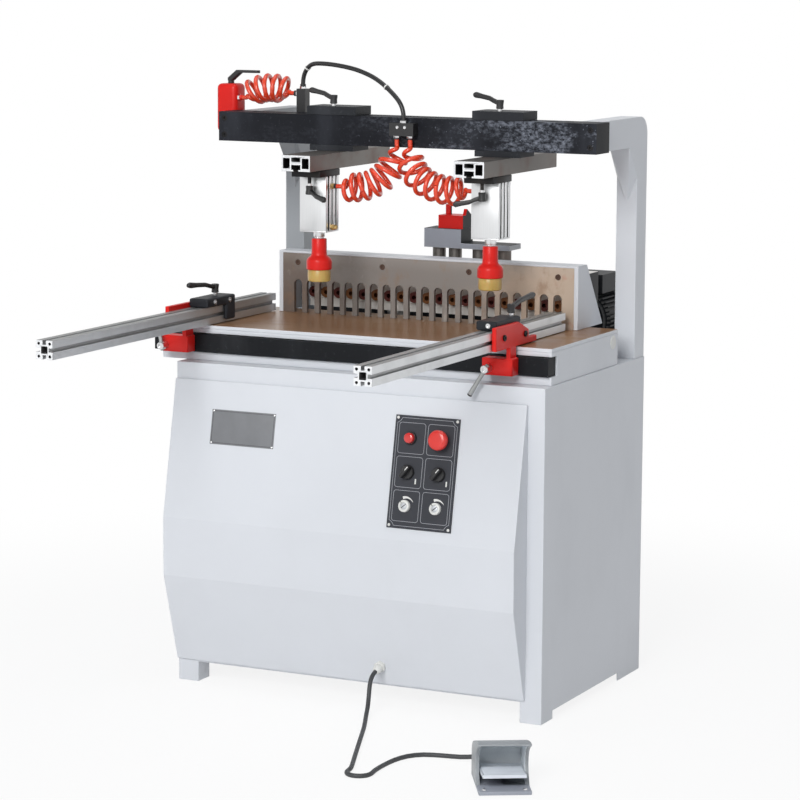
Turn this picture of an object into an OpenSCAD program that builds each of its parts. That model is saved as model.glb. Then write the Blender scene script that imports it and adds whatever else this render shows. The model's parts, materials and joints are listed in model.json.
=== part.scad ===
// Line boring machine: a cabinet carries a table with two guide rails, a slotted fence, a multi-spindle
// drill head behind it, and a portal whose beam holds two pneumatic hold-down clamps.
// Machine frame: X to the right from the middle slot, Y backwards from the fence's front face, Z up from
// the floor. Each node is then moved so that the origin is under the middle of the whole object.

/* [Cabinet] */
// Width of the cabinet
cabinet_w = 880; // [800:1:960]
// Distance from the fence face forward to the cabinet's front
cabinet_front = 341; // [320:1:380]
// Distance from the fence face back to the cabinet's rear
cabinet_rear = 220; // [200:1:260]
// Sheet thickness of the cabinet, the cover and the table box
sheet = 3; // [2:0.5:5]
// Height of the feet
foot_h = 45; // [30:1:60]
// Width of a foot
foot_w = 50; // [40:1:70]

/* [Front cover] */
// How much narrower than the cabinet the front cover is
cover_short = 38; // [20:1:180]
// Height of the cover's lower edge above the floor
cover_bottom = 50; // [46:1:80]
// Distance from the cabinet's top down to the cover's upper edge
cover_drop = 37; // [20:1:77]
// How far the belly stands out from the cabinet
cover_bulge = 65; // [40:1:90]
// Height of the lower crease as a share of the cover's height
crease_low_share = 0.3175; // [0.24:0.0005:0.4]
// Height of the upper crease as a share of the cover's height
crease_high_share = 0.524; // [0.46:0.0005:0.59]

/* [Table] */
// Height of the table top above the floor
table_h = 795; // [760:1:900]
// How far each end of the table stands in from the cabinet's side
table_inset = 3.5; // [0:0.5:40]
// Distance from the fence face forward to the table's front edge
table_front = 301; // [280:1:320]
// Distance from the fence face back to the table's rear edge
table_rear = 67; // [40:1:72]
// Height of the table box from the cabinet to the table top
apron_h = 78; // [70:1:90]
// Thickness of the table sheet
top_t = 8; // [5:1:12]
// How far the black guide bar stands out past the table's left end
bar_over = 78; // [66:1:90]
// How far the lip under the guide bar stands out past the table's left end
lip_over = 63; // [40:1:65]
// Height of the guide bar
bar_h = 40; // [30:1:44]
// How far the guide bar stands out of its groove
bar_proud = 10; // [5:1:15]

/* [Fence] */
// Least distance from the last slot's middle to the fence's end
slot_edge = 38; // [25:1:60]
// Distance between slots
slot_pitch = 32; // [30:1:33]
// Width of a slot
slot_w = 20; // [14:0.5:24]
// Height of a slot above the table
slot_h = 75; // [60:1:90]
// Gap between the fence frame's end and a column
fence_gap = 21.5; // [18:0.5:30]
// Height of the fence above the table
fence_h = 140; // [125:1:150]
// Thickness of the fence
fence_t = 10; // [6:1:12]

/* [Portal] */
// How far each column stands in from the cabinet's side
portal_inset = 2; // [0:1:12]
// Width of a column
column_w = 48; // [40:1:50]
// Depth of a column
column_d = 58; // [50:1:64]
// How far the beam stands out past each column
beam_over = 18; // [0:1:40]
// Height of the beam
beam_h = 65; // [50:1:80]
// Depth of the beam
beam_d = 72; // [60:1:80]
// Distance from the fence face forward to the beam's front face
beam_front = 122; // [110:1:140]
// Height of the beam's underside above the table
beam_clear = 393; // [350:1:430]
// Width of the slot along the beam
beam_slot_w = 14; // [12:1:20]

/* [Drill head] */
// Gap between the gearbox and a fence gusset
gearbox_gap = 20; // [14:0.5:24]
// Depth of the gearbox
gearbox_d = 95; // [80:1:110]
// Height of the gearbox
gearbox_h = 105; // [95:1:125]
// Distance from the fence face back to the gearbox face
gearbox_y = 95; // [92:1:100]
// Height of the spindles above the table
spindle_z = 40; // [36:1:50]
// Diameter of a chuck
chuck_d = 25; // [20:0.5:27]
// Length of a chuck
chuck_len = 20; // [12:1:22]
// Diameter of the motor
motor_d = 140; // [124:1:146]
// Length of the motor
motor_len = 210; // [180:1:260]
// Distance from the gearbox's right end to the motor's middle
motor_inset = 46; // [42:1:56]
// Diameter of the head's guide bars
guide_d = 25; // [20:1:30]

/* [Clamps] */
// Distance from the left rail's outer face to the left clamp's middle
clamp_left_inset = 243; // [215:1:265]
// Distance from the right rail's inner face to the right clamp's middle
clamp_right_inset = 84; // [72:1:112]
// Length of a clamp carriage along the beam
carriage_len = 120; // [100:1:130]
// Width of a clamp arm
arm_w = 70; // [60:1:80]
// Height of a clamp arm
arm_h = 35; // [30:1:45]
// Length of a clamp arm
arm_len = 388; // [340:1:420]
// Width of a clamp cylinder
cyl_w = 64; // [56:1:70]
// Depth of a clamp cylinder
cyl_d = 62; // [56:1:66]
// Height of a clamp cylinder
cyl_h = 134; // [118:1:146]
// Diameter of the piston rod
rod_d = 16; // [12:1:20]
// Diameter of the pressure foot's band
band_d = 56; // [50:1:60]
// Diameter of the pressure pad
pad_d = 50; // [40:1:56]
// Height of the pressure pad
pad_h = 26; // [20:1:30]

/* [Rails] */
// Side of the square rail profile
rail_s = 39; // [36:1:42]
// Length of a rail
rail_len = 940; // [800:1:960]
// Distance from the table's left end to the left rail's outer face
rail_left_inset = 21.5; // [18.5:0.5:24.5]
// Distance from the table's right end to the right rail's inner face
rail_right_inset = 124.5; // [106.5:0.5:126.5]
// Gap under a rail
rail_lift = 2; // [1:0.5:4]

/* [Control panel] */
// Width of the control panel
panel_w = 150; // [130:1:170]
// Distance from the panel's lower edge to the cover's upper crease
panel_foot = 26; // [10:1:46]
// Place of the panel's middle, right of the middle slot
panel_x = 180; // [160:1:200]

/* [Air system] */
// Diameter of an air tube
tube_d = 10; // [8:0.5:11]
// Outer diameter of a hose coil
coil_od = 66; // [56:1:72]
// Curls in a clamp's hose
clamp_curls = 8; // [6:1:9]
// Curls in the hose behind the beam
rear_curls = 6; // [4:1:8]

/* [Foot switch] */
// Width of the foot switch
foot_switch_w = 104; // [96:1:116]
// Depth of the foot switch
foot_switch_d = 150; // [140:1:170]
// Height of the foot switch
foot_switch_h = 98; // [90:1:110]
// Diameter of the foot switch cord
cord_d = 9.5; // [8:0.5:11]

/* [Hidden] */
$fn = 48;
// Overrun of every cut, and the gap between pieces that move on one another
cut = 1;
gap = 0.3;
// Heights and lines that several pieces share
cabinet_top = table_h - apron_h;
beam_z = table_h + beam_clear;
beam_top = beam_z + beam_h;
beam_rear = beam_d - beam_front;
portal_w = cabinet_w - 2 * portal_inset;
beam_len = portal_w + 2 * beam_over;
table_w = cabinet_w - 2 * table_inset;
column_x = portal_w / 2 - column_w;
column_y = cabinet_rear - column_d;
// The cover's left edge is flush with the cabinet
cover_x = -cabinet_w / 2;
// Cabinet and cover details
cover_lip = 6;
cover_w = cabinet_w - cover_short;
cover_top = cabinet_top - cover_drop;
crease_low = cover_bottom + crease_low_share * (cover_top - cover_bottom);
crease_high = cover_bottom + crease_high_share * (cover_top - cover_bottom);
slope = atan((cover_bulge - cover_lip) / (cover_top - crease_high));
lower_slope = atan((cover_bulge - cover_lip) / (crease_low - cover_bottom));
side_cut_h = 18;
side_cut_front = 62;
side_cut_rear = 130;
// Guide bar and its groove
groove_gap = 1;
groove_d = 30;
bar_rise = 19;
bar_inset = 4;
bar_z = cabinet_top + bar_rise;
bar_left = -table_w / 2 - bar_over;
bar_right = table_w / 2 - bar_inset;
bar_face = -table_front - bar_proud;
// Fence details
gusset_t = 10;
gusset_top = 50;
gusset_foot = 144;
flange_t = 5;
fence_w = 2 * (column_x - fence_gap);
slot_side_n = floor((fence_w / 2 - slot_edge) / slot_pitch);
slot_n = 2 * slot_side_n + 1;
slot_first = -slot_side_n * slot_pitch;
fence_screw_x_shares = [-0.435, -0.145, 0.145, 0.435];
fence_screw_z = 26;
screw_d = 13;
screw_h = 5;
screw_seat = 6;
screw_socket = 6;
screw_socket_d = 3;
// Portal details
column_round = 40;
brace_d = 47;
brace_side_h = 67;
brace_h = 124;
beam_slot_len = 2 * column_x;
beam_screw_x = 14;
beam_screw_z = 14;
fence_screws = [for (share = fence_screw_x_shares) [share * fence_w, 0, table_h + fence_h - fence_screw_z]];
beam_screws = [for (side = [-1, 1], z = [beam_z + beam_screw_z, beam_top - beam_screw_z])
    [side * (beam_len / 2 - beam_screw_x), -beam_front, z]];
// Drill head details
gearbox_w = fence_w - 2 * (gusset_t + gearbox_gap);
guide_x_share = 0.2215;
guide_x = guide_x_share * gearbox_w;
guide_z = 40;
guide_block_w = 40;
guide_block_h = 58;
guide_block_d = 15;
guide_front = 75;
bushing_l = 40;
bushing_w = 44;
guide_clear = 5;
gearbox_z = table_h + guide_clear;
gearbox_rear = gearbox_y + gearbox_d;
bushing_y = cabinet_rear - guide_block_d - bushing_l - guide_clear;
chuck_bore = 10;
face_groove = 5;
face_groove_z_shares = [0.18, 0.66];
motor_x = gearbox_w / 2 - motor_inset;
motor_z = -3;
motor_flange_d = 118;
motor_flange_l = 18;
fin_n = 40;
fin_h = 9;
fin_t = 3;
fan_len = 48;
terminal_w = 90;
terminal_l = 95;
terminal_h = 50;
lift_x0 = -56;
lift_w = 211;
lift_d = 64;
lift_y = 16;
lift_rise = 43;
lift_t = 12;
lift_block_w = 92;
lift_block_h = 31;
post_d = 30;
post_collar_d = 36;
post_collar_h = 9;
post_x_shares = [0.11, 0.3, 0.58, 0.88];
lock_w = 61;
lock_d = 46;
lock_h = 30;
lock_fin_h = 44;
lock_fin_t = 8;
elbow_d = 14;
elbow_h = 24;
// Clamp details
carriage_t = 19;
carriage_under = 13;
carriage_d = 76;
stud_d = 12;
arm_front_left = 290;
arm_front_right = 268;
arm_slot_w = 12;
arm_slot_in_w = 22;
arm_slot_in_h = 10;
arm_lip = 4;
arm_bore_w = 16;
arm_bore_h = 22;
foot_left_y = -180;
foot_right_y = -154;
cyl_plate_t = 15;
cyl_plate_front = 64;
cyl_bore_len = 100;
cyl_cap_h = 12;
cyl_cap_d = 40;
port_d = 12;
port_len = 11;
port_top = 22;
port_low = 112;
rod_show_l = 4;
rod_inside_l = 90;
neck_top_d = 33;
neck_d = 34;
neck_h = 36;
cone_h = 13;
band_h = 19;
lever_hub_d = 18;
lever_hub_h = 24;
lever_len = 78;
lever_rise = 12;
lever_d = 9;
lever_tip_d = 13;
beam_lever_y = -112;
arm_lever_y = 46;
arm_lever_len = 58;
arm_lever_stem = 14;
stem_d = 8;
beam_lever_turn = 156;
arm_lever_turn_left = -30;
arm_lever_turn_right = 195;
arm_top = beam_z - gap - carriage_under;
arm_low = arm_top - arm_h;
cyl_top = arm_low - cyl_plate_t - gap;
cyl_low = cyl_top - cyl_h;
band_low = cyl_low - rod_show_l - neck_h - cone_h - band_h;
// Rail details
rail_left_x = table_w / 2 - rail_left_inset;
rail_right_x = table_w / 2 - rail_right_inset;
clamp_left_x = clamp_left_inset - rail_left_x;
clamp_right_x = rail_right_x - clamp_right_inset;
rail_z = table_h + rail_lift;
rail_top = rail_z + rail_s;
rail_left_mid = rail_s / 2 - rail_left_x;
rail_right_mid = rail_right_x + rail_s / 2;
rail_slot = 8;
rail_slot_d = 9;
rail_hole_d = 6;
rail_core_d = 8;
rail_left_gap = 3;
rail_right_gap = 27;
rail_left_front = rail_len + rail_left_gap;
rail_right_front = rail_len + rail_right_gap;
bracket_t = 10;
bracket_h = 50;
bracket_front = 417;
bracket_top_rear = 297;
bracket_rear = 247;
bracket_side_h = 30;
bracket_tail = 205;
bracket_tail_h = 13;
bracket_block_w = 70;
bracket_block_h = 44;
bracket_block_d = 33;
bracket_reach_left = 66;
bracket_reach_right = 15;
bracket_low = bar_z + bar_h - bracket_block_h - rail_lift;
handle_hub_d = 22;
handle_hub_l = 24;
handle_d = 8;
handle_len = 62;
handle_ball_d = 13;
handle_inset = 14;
handle_left_x = -rail_left_x - bracket_reach_left + handle_inset;
handle_turn_left = 100;
handle_turn_right = -122;
stop_l = 125;
stop_t = 20;
stop_skirt_l = 40;
stop_skirt_h = 34;
stop_skirt_t = 9;
stop_clear = 1;
stop_left_y = -270;
stop_right_y = -328;
stop_hub_left = 21;
stop_hub_right = 53;
stop_lever_len = 112;
// Control panel details
panel_t = 3;
panel_drop = 40;
panel_h = (cover_top - crease_high) / cos(slope) - panel_drop - panel_foot;
control_dx = 36;
control_row_shares = [0.2, 0.5, 0.8];
lamp_d = 28;
lamp_h = 14;
stop_d = 43;
stop_cap_h = 16;
stop_stem_d = 22;
stop_stem_h = 12;
selector_d = 31;
selector_h = 8;
selector_bar = 8;
selector_turn = 38;
selector_bar_h = 14;
dial_d = 26;
dial_h = 7;
// Air system details
manifold_x = 10;
manifold_w = 58;
manifold_h = 28;
manifold_d = 25;
manifold_z = 26;
manifold_port_d = 11;
manifold_port_h = 8;
manifold_port_x = 16;
manifold_low = beam_z + manifold_z;
tee_inset = 97;
tee_x = tee_inset - column_x;
tee_w = 22;
tee_top = 51;
tee_low = 30;
tee_foot = 12;
tee_port_d = 13;
tee_port_l = 10;
tee_port_z = beam_top + tee_top - tee_w / 2;
tee_y = beam_rear + tee_foot + tee_w / 2;
valve_reach = 46;
valve_x = -portal_w / 2 - valve_reach;
valve_y = -15;
valve_w = 52;
valve_right = valve_x + valve_w / 2;
valve_d = 50;
valve_low = 13;
valve_high = 123;
valve_arm_h = 30;
valve_arm_d = 30;
valve_port_z = 92;
valve_stem_d = 14;
valve_stem_h = 12;
valve_lever_len = 66;
valve_lever_t = 6;
valve_lever_w = 16;
valve_lever_rise = 18;
coil_r = (coil_od - tube_d) / 2;
coil_lead = 1.5 * tube_d;
coil_drop = [0, -20, -104];
coil_reach = [56, -6, -5];
rear_bend = [[40, 0, 30], [-40, 0, 16]];
curl_rings = 8;
first_side = [1, 2, 3];
tube_sides = 6;
cord_sides = 8;
route_steps = 2;
// Foot switch details
foot_switch_x = 547;
foot_switch_y = -785;
foot_switch_turn = 30;
foot_base_t = 8;
foot_wall = 6;
// The hood's side outline as shares of its depth, front to rear, and of its height
hood_shares = [[-0.22, 0], [0.5, 0], [0.5, 0.62], [0.36, 1], [-0.3, 1], [-0.42, 0.88], [-0.16, 0.66]];
pedal_t = 7;
pedal_rise = 16;
pedal_gap = 3;
pedal_pin_d = 8;
pedal_back = 14;
pedal_len = 118;
pedal_tilt = 5;
pedal_hinge_y = foot_switch_d / 2 - foot_wall - pedal_back;
pedal_hinge_z = foot_base_t + pedal_rise;
foot_port_d = 16;
foot_port_l = 12;
foot_port_z = 36;
// Cord gland on the cover
gland_x = 71;
gland_z = 91;
gland_d = 18;
gland_nut_d = 26;
gland_l = 26;
// Routes of the cords and hoses
cord_route = [
    [71, -380, 85], [71, -393, 80.6], [71, -404, 72], [71.2, -411, 59], [72, -415.5, 44], [74, -422.5, 30],
    [78, -434, 18], [84, -451, 10], [93, -473, 6], [106, -502, 5], [126, -548, 5], [155, -620, 5],
    [192, -712, 5], [218, -776, 5], [231, -808, 5], [238, -827, 5], [241, -840, 5], [243.5, -855.2, 5],
    [251.3, -868.6, 5], [265.4, -874.9, 5], [280.5, -871.7, 5], [290.8, -860.2, 5], [292.5, -844.8, 5],
    [290, -829, 5], [288, -810, 5], [287.5, -780, 5], [290, -738, 5], [301, -700, 5], [325, -674, 5],
    [362, -663, 5], [400, -659, 6], [431, -655.5, 10], [456, -658, 17.5], [476, -669, 25.5],
    [492, -689, 33], [504, -710, 36]
];
supply_rise = 108.6;
// The arched hose's points as shares of the way from tee to manifold and of the rise above the beam
supply_shares = [
    [0.0019, 0.6446], [0.0093, 0.733], [0.023, 0.814], [0.0423, 0.884], [0.0666, 0.9392], [0.0952, 0.976],
    [0.129, 0.9945], [0.168, 1], [0.221, 1], [0.286, 0.993], [0.367, 0.975], [0.451, 0.948], [0.535, 0.91],
    [0.62, 0.852], [0.697, 0.783], [0.767, 0.696], [0.828, 0.597], [0.881, 0.496], [0.926, 0.398],
    [0.962, 0.298], [0.986, 0.19], [0.998, 0.07]
];
tee_port = [tee_x, tee_y, beam_top + tee_top + tee_port_l];
manifold_inlet = [manifold_x, -beam_front - manifold_d / 2, manifold_low + manifold_h + manifold_port_h];
supply_way = manifold_inlet - tee_port;
supply_route = concat([tee_port],
    [for (share = supply_shares)
        [tee_x + share[0] * supply_way[0], tee_y + share[0] * supply_way[1],
            beam_top + share[1] * supply_rise]],
    [manifold_inlet]);
// The whole object's middle, from which the origin is set
reach_left = -bar_left;
reach_right = foot_switch_x
    + (foot_switch_w * cos(foot_switch_turn) + foot_switch_d * sin(foot_switch_turn)) / 2;
reach_rear = gearbox_y + gearbox_d + motor_len;
origin_x = (reach_left - reach_right) / 2;
origin_y = (rail_right_front - reach_rear) / 2;

// A box from its low corner to its high corner
module span(low, high) {
    translate(low) cube(high - low);
}

// A box centred on X, from y and z low to y and z high
module span_x(width, y0, y1, z0, z1) {
    span([-width / 2, y0, z0], [width / 2, y1, z1]);
}

// Cylinders along the three axes
module rod_x(d, l) {
    rotate([0, 90, 0]) cylinder(d = d, h = l);
}

module rod_y(d, l) {
    rotate([-90, 0, 0]) cylinder(d = d, h = l);
}

// A screw head with a hexagon socket, sunk below the face that it holds, and the seat that it lies in
module screw_head() {
    translate([0, screw_seat - screw_h, 0]) difference() {
        rod_y(screw_d, screw_h);
        translate([0, -cut, 0]) rotate([-90, 0, 0])
            cylinder(d = screw_socket / cos(30), h = screw_socket_d + cut, $fn = 6);
    }
}

module screw_seats(places) {
    for (place = places)
        translate(place - [0, cut, 0]) rod_y(screw_d + 2 * gap, screw_seat + cut);
}

// The part of the cover where a control sits, its Z pointing out of the sloped face
module on_cover(x, down) {
    translate([x, -cabinet_front - cover_lip, cover_top]) rotate([90 - slope, 0, 0]) translate([0, -down, 0])
        children();
}

// The place of one control on the panel
module on_panel(column, row) {
    on_cover(panel_x + column * control_dx, panel_drop + control_row_shares[row] * panel_h)
        translate([0, 0, panel_t]) children();
}

// The hole through the panel and the cover's sheet for the stop button's stem
module stop_bore() {
    on_panel(1, 0) translate([0, 0, -panel_t - sheet - cut])
        cylinder(d = stop_stem_d + 2 * gap, h = panel_t + sheet + 2 * cut);
}

// A clamping lever: a hub on Z with an arm that rises to a thick tip
module clamp_lever(length, rise) {
    cylinder(d = lever_hub_d, h = lever_hub_h);
    hull() {
        translate([0, 0, lever_hub_h - lever_d / 2]) sphere(d = lever_d, $fn = 24);
        translate([length, 0, lever_hub_h - lever_d / 2 + rise]) sphere(d = lever_tip_d, $fn = 24);
    }
}

// Cabinet and table

module cabinet() {
    front = -cabinet_front;
    color("gainsboro") difference() {
        span_x(cabinet_w, front, cabinet_rear, 0, cabinet_top);
        span_x(cabinet_w - 2 * sheet, front + sheet, cabinet_rear - sheet, foot_h + sheet,
            cabinet_top - sheet);
        span_x(cabinet_w - 2 * foot_w, front - cut, cabinet_rear + cut, -cut, foot_h);
        span_x(cabinet_w - 2 * sheet, front + foot_w, cabinet_rear - foot_w, -cut, foot_h);
        span_x(cabinet_w + 2 * cut, front + side_cut_front, cabinet_rear - side_cut_rear, -cut, side_cut_h);
    }
}

module front_cover() {
    outer = [[0, cover_bottom], [cover_lip, cover_bottom], [cover_bulge, crease_low],
        [cover_bulge, crease_high], [cover_lip, cover_top], [0, cover_top]];
    inner = [[cover_lip - sheet, cover_bottom + sheet], [cover_bulge - sheet, crease_low + sheet],
        [cover_bulge - sheet, crease_high - sheet], [cover_lip - sheet, cover_top - sheet]];
    color("gainsboro") difference() {
        translate([cover_x, -cabinet_front, 0]) rotate([90, 0, 90]) mirror([1, 0, 0])
            difference() {
                linear_extrude(cover_w) polygon(outer);
                translate([0, 0, sheet]) linear_extrude(cover_w - 2 * sheet) polygon(inner);
            }
        stop_bore();
    }
}

module table_box() {
    groove_low = bar_z - groove_gap;
    groove_high = bar_z + bar_h + groove_gap;
    lid = table_h - top_t;
    color("gainsboro") {
        difference() {
            span_x(table_w, -table_front, table_rear, cabinet_top, lid);
            span_x(table_w + 2 * cut, -table_front - cut, groove_d - table_front, groove_low, groove_high);
            span_x(table_w - 2 * sheet, groove_d + sheet - table_front, table_rear - sheet,
                cabinet_top + sheet, lid - sheet);
        }
        span([-table_w / 2 - lip_over, -table_front, cabinet_top],
            [cut - table_w / 2, groove_d - table_front, groove_low]);
    }
}

module table_top() {
    color("tan") span_x(table_w, -table_front, table_rear, table_h - top_t, table_h);
}

module guide_bar() {
    color("dimgray")
        span([bar_left, bar_face, bar_z], [bar_right, groove_d - table_front, bar_z + bar_h]);
}

// Fence and portal

module fence_plate() {
    color("rosybrown") difference() {
        span_x(fence_w - 2 * gusset_t, 0, fence_t, table_h, table_h + fence_h - flange_t);
        for (i = [0 : slot_n - 1]) {
            translate([slot_first + i * slot_pitch, -cut, table_h]) {
                span_x(slot_w, 0, fence_t + 2 * cut, -cut, slot_h - slot_w / 2);
                translate([0, 0, slot_h - slot_w / 2]) rod_y(slot_w, fence_t + 2 * cut);
            }
        }
        screw_seats(fence_screws);
    }
}

// The frame round the fence plate: two gussets joined by a flange along the top
module fence_gussets() {
    outline = [[0, 0], [gusset_foot, 0], [gusset_top, fence_h], [0, fence_h]];
    color("whitesmoke") {
        span_x(fence_w, 0, gusset_top, table_h + fence_h - flange_t, table_h + fence_h);
        for (side = [-1, 1])
            translate([side * (fence_w - gusset_t) / 2 - gusset_t / 2, 0, table_h]) rotate([90, 0, 90])
                linear_extrude(gusset_t) polygon(outline);
    }
}

// One column, drawn for the right side: a hollow upright with a rounded rear corner, the head that reaches to
// the beam, and a folded brace that tapers to a point
module column() {
    x0 = column_x;
    x1 = column_x + column_w;
    head_y = beam_rear;
    middle = (x0 + x1) / 2;
    round_y = cabinet_rear - column_round;
    round_z = beam_top - column_round;
    color("gainsboro") {
        difference() {
            union() {
                span([x0, column_y, cabinet_top], [x1, cabinet_rear, beam_top]);
                span([x0, head_y, beam_z], [x1, column_y + cut, beam_top]);
            }
            span([x0 + sheet, column_y + sheet, cabinet_top + sheet],
                [x1 - sheet, cabinet_rear - sheet, round_z]);
            span([x0 + sheet, head_y + sheet, beam_z + sheet], [x1 - sheet, round_y, beam_top - sheet]);
            difference() {
                span([x0 - cut, round_y, round_z], [x1 + cut, cabinet_rear + cut, beam_top + cut]);
                translate([x0 - 2 * cut, round_y, round_z]) rod_x(2 * column_round, column_w + 4 * cut);
            }
        }
        hull() {
            span([x0, column_y - brace_d, beam_z], [x1, column_y + cut, beam_z + cut]);
            span([x0, column_y, beam_z - brace_side_h], [x1, column_y + cut, beam_z]);
            span([middle - cut, column_y, beam_z - brace_h], [middle + cut, column_y + cut, beam_z]);
        }
    }
}

module column_left() {
    mirror([1, 0, 0]) column();
}

module column_right() {
    column();
}

module beam() {
    middle = beam_rear - beam_d / 2;
    color("dimgray") difference() {
        span_x(beam_len, -beam_front, beam_rear, beam_z, beam_top);
        translate([0, middle, 0]) hull() {
            for (side = [-1, 1])
                translate([side * (beam_slot_len - beam_slot_w) / 2, 0, beam_z - cut])
                    cylinder(d = beam_slot_w, h = beam_h + 2 * cut, $fn = 32);
        }
        screw_seats(beam_screws);
    }
}

module frame_bolts() {
    color("black") {
        for (place = concat(fence_screws, beam_screws))
            translate(place) screw_head();
    }
}

// Drill head

module head_guides() {
    z = cabinet_top + guide_z;
    color("silver") {
        for (side = [-1, 1]) {
            translate([side * guide_x, 0, 0]) {
                for (y = [guide_front, cabinet_rear - guide_block_d])
                    span_x(guide_block_w, y, y + guide_block_d, cabinet_top, cabinet_top + guide_block_h);
                translate([0, guide_front, z]) rod_y(guide_d, cabinet_rear - guide_front);
            }
        }
    }
}

module gearbox() {
    low = cabinet_top + guide_z - bushing_w / 2;
    color("whitesmoke") difference() {
        union() {
            span_x(gearbox_w, gearbox_y, gearbox_rear, gearbox_z, gearbox_z + gearbox_h);
            for (side = [-1, 1])
                translate([side * guide_x, 0, 0])
                    span_x(bushing_w, bushing_y, bushing_y + bushing_l, low, gearbox_z + cut);
        }
        for (side = [-1, 1])
            translate([side * guide_x, bushing_y - cut, cabinet_top + guide_z])
                rod_y(guide_d + 2 * gap, bushing_l + 2 * cut);
        for (share = face_groove_z_shares)
            span_x(gearbox_w + 2 * cut, gearbox_y - cut, gearbox_y + face_groove,
                gearbox_z + share * gearbox_h, gearbox_z + share * gearbox_h + face_groove);
    }
}

module spindles() {
    for (i = [0 : slot_n - 1])
        color(i % 2 == 0 ? "firebrick" : "goldenrod")
            translate([slot_first + i * slot_pitch, gearbox_y - chuck_len, table_h + spindle_z])
                difference() {
                    rod_y(chuck_d, chuck_len);
                    translate([0, -cut, 0]) rod_y(chuck_bore, chuck_len);
                }
}

module motor() {
    core = motor_d - 2 * fin_h;
    body_len = motor_len - fan_len - motor_flange_l;
    color("dimgray") translate([motor_x, gearbox_rear, table_h + motor_z]) {
        rod_y(motor_flange_d, motor_flange_l + cut);
        translate([0, motor_flange_l, 0]) {
            rod_y(core, body_len);
            translate([0, body_len, 0]) rod_y(motor_d, fan_len);
            for (i = [0 : fin_n - 1])
                rotate([0, i * 360 / fin_n, 0]) span_x(fin_t, 0, body_len + cut, core / 2 - cut, motor_d / 2);
            span([-terminal_w / 2, fin_h, core / 2 - cut],
                [terminal_w / 2, fin_h + terminal_l, core / 2 + terminal_h - fin_h]);
        }
    }
}

// The plate above the gearbox on its four posts, with the block that it carries
module lift_plate() {
    base = gearbox_z + gearbox_h;
    y0 = gearbox_y + lift_y;
    color("darkgray") translate([lift_x0, y0, base]) {
        span([0, 0, lift_rise], [lift_w, lift_d, lift_rise + lift_t]);
        span([0, 0, lift_rise + lift_t - cut], [lift_block_w, lift_d, lift_rise + lift_t + lift_block_h]);
        for (share = post_x_shares)
            translate([share * lift_w, lift_d / 2, 0]) {
                cylinder(d = post_d, h = lift_rise + cut);
                cylinder(d = post_collar_d, h = post_collar_h);
            }
    }
}

module lock_box() {
    base = gearbox_z + gearbox_h + lift_rise + lift_t + lift_block_h;
    x0 = lift_x0 + lift_block_w - lock_w;
    y0 = gearbox_y + lift_y + (lift_d - lock_d) / 2;
    fin = [[0, 0], [lock_d, 0], [lock_d, lock_h], [lock_d / 2, lock_fin_h]];
    color("firebrick") translate([x0, y0, base]) {
        cube([lock_w, lock_d, lock_h]);
        translate([lock_w - lock_fin_t, 0, 0]) rotate([90, 0, 90]) linear_extrude(lock_fin_t) polygon(fin);
        translate([lock_w / 4, lock_d / 2, lock_h - cut]) cylinder(d = elbow_d, h = elbow_h);
    }
}

// Control panel

module control_panel() {
    color("dimgray") difference() {
        on_cover(panel_x, panel_drop + panel_h / 2)
            translate([-panel_w / 2, -panel_h / 2, 0]) cube([panel_w, panel_h, panel_t]);
        stop_bore();
    }
}

module power_lamp() {
    color("red") on_panel(-1, 0) cylinder(d = lamp_d, h = lamp_h);
}

module stop_button() {
    color("red") on_panel(1, 0) {
        translate([0, 0, -panel_t]) cylinder(d = stop_stem_d, h = panel_t + stop_stem_h);
        translate([0, 0, stop_stem_h - cut]) cylinder(d = stop_d, h = stop_cap_h);
    }
}

module selector(column) {
    color("black") on_panel(column, 1) translate([0, 0, gap]) {
        cylinder(d = selector_d, h = selector_h);
        rotate([0, 0, -selector_turn]) translate([-selector_bar / 2, -selector_d / 2, selector_h - cut])
            cube([selector_bar, selector_d, selector_bar_h]);
    }
}

module selector_left() {
    selector(-1);
}

module selector_right() {
    selector(1);
}

module dial(column) {
    color("white") on_panel(column, 2) translate([0, 0, gap]) cylinder(d = dial_d, h = dial_h);
}

module dial_left() {
    dial(-1);
}

module dial_right() {
    dial(1);
}

// Clamps: each clamp is drawn about its own middle, with the beam's numbers for Y and Z

module carriage(x) {
    middle = beam_rear - beam_d / 2;
    y0 = middle - carriage_d / 2;
    color("dimgray") translate([x, 0, 0]) {
        span_x(carriage_len, y0, y0 + carriage_d, beam_top + gap, beam_top + gap + carriage_t);
        span_x(carriage_len - carriage_under, y0, y0 + carriage_d, arm_top, arm_top + carriage_under);
        for (side = [-1, 1])
            translate([side * carriage_len / 4, middle, arm_top + carriage_under - cut])
                cylinder(d = stud_d, h = beam_h + 2 * gap + 2 * cut);
    }
}

module clamp_arm(x, front) {
    color("silver") translate([x, -front, arm_low]) difference() {
        span_x(arm_w, 0, arm_len, 0, arm_h);
        span_x(arm_slot_w, -cut, arm_len + cut, -cut, arm_lip + cut);
        span_x(arm_slot_in_w, -cut, arm_len + cut, arm_lip, arm_lip + arm_slot_in_h);
        for (side = [-1, 1])
            translate([side * (arm_w / 2 - arm_lip - arm_bore_w / 2), 0, (arm_h - arm_bore_h) / 2])
                span_x(arm_bore_w, -cut, arm_len + cut, 0, arm_bore_h);
    }
}

module beam_lever(x) {
    color("black") translate([x, beam_lever_y, beam_top + carriage_t + 2 * gap])
        rotate([0, 0, beam_lever_turn]) clamp_lever(lever_len, lever_rise);
}

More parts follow.
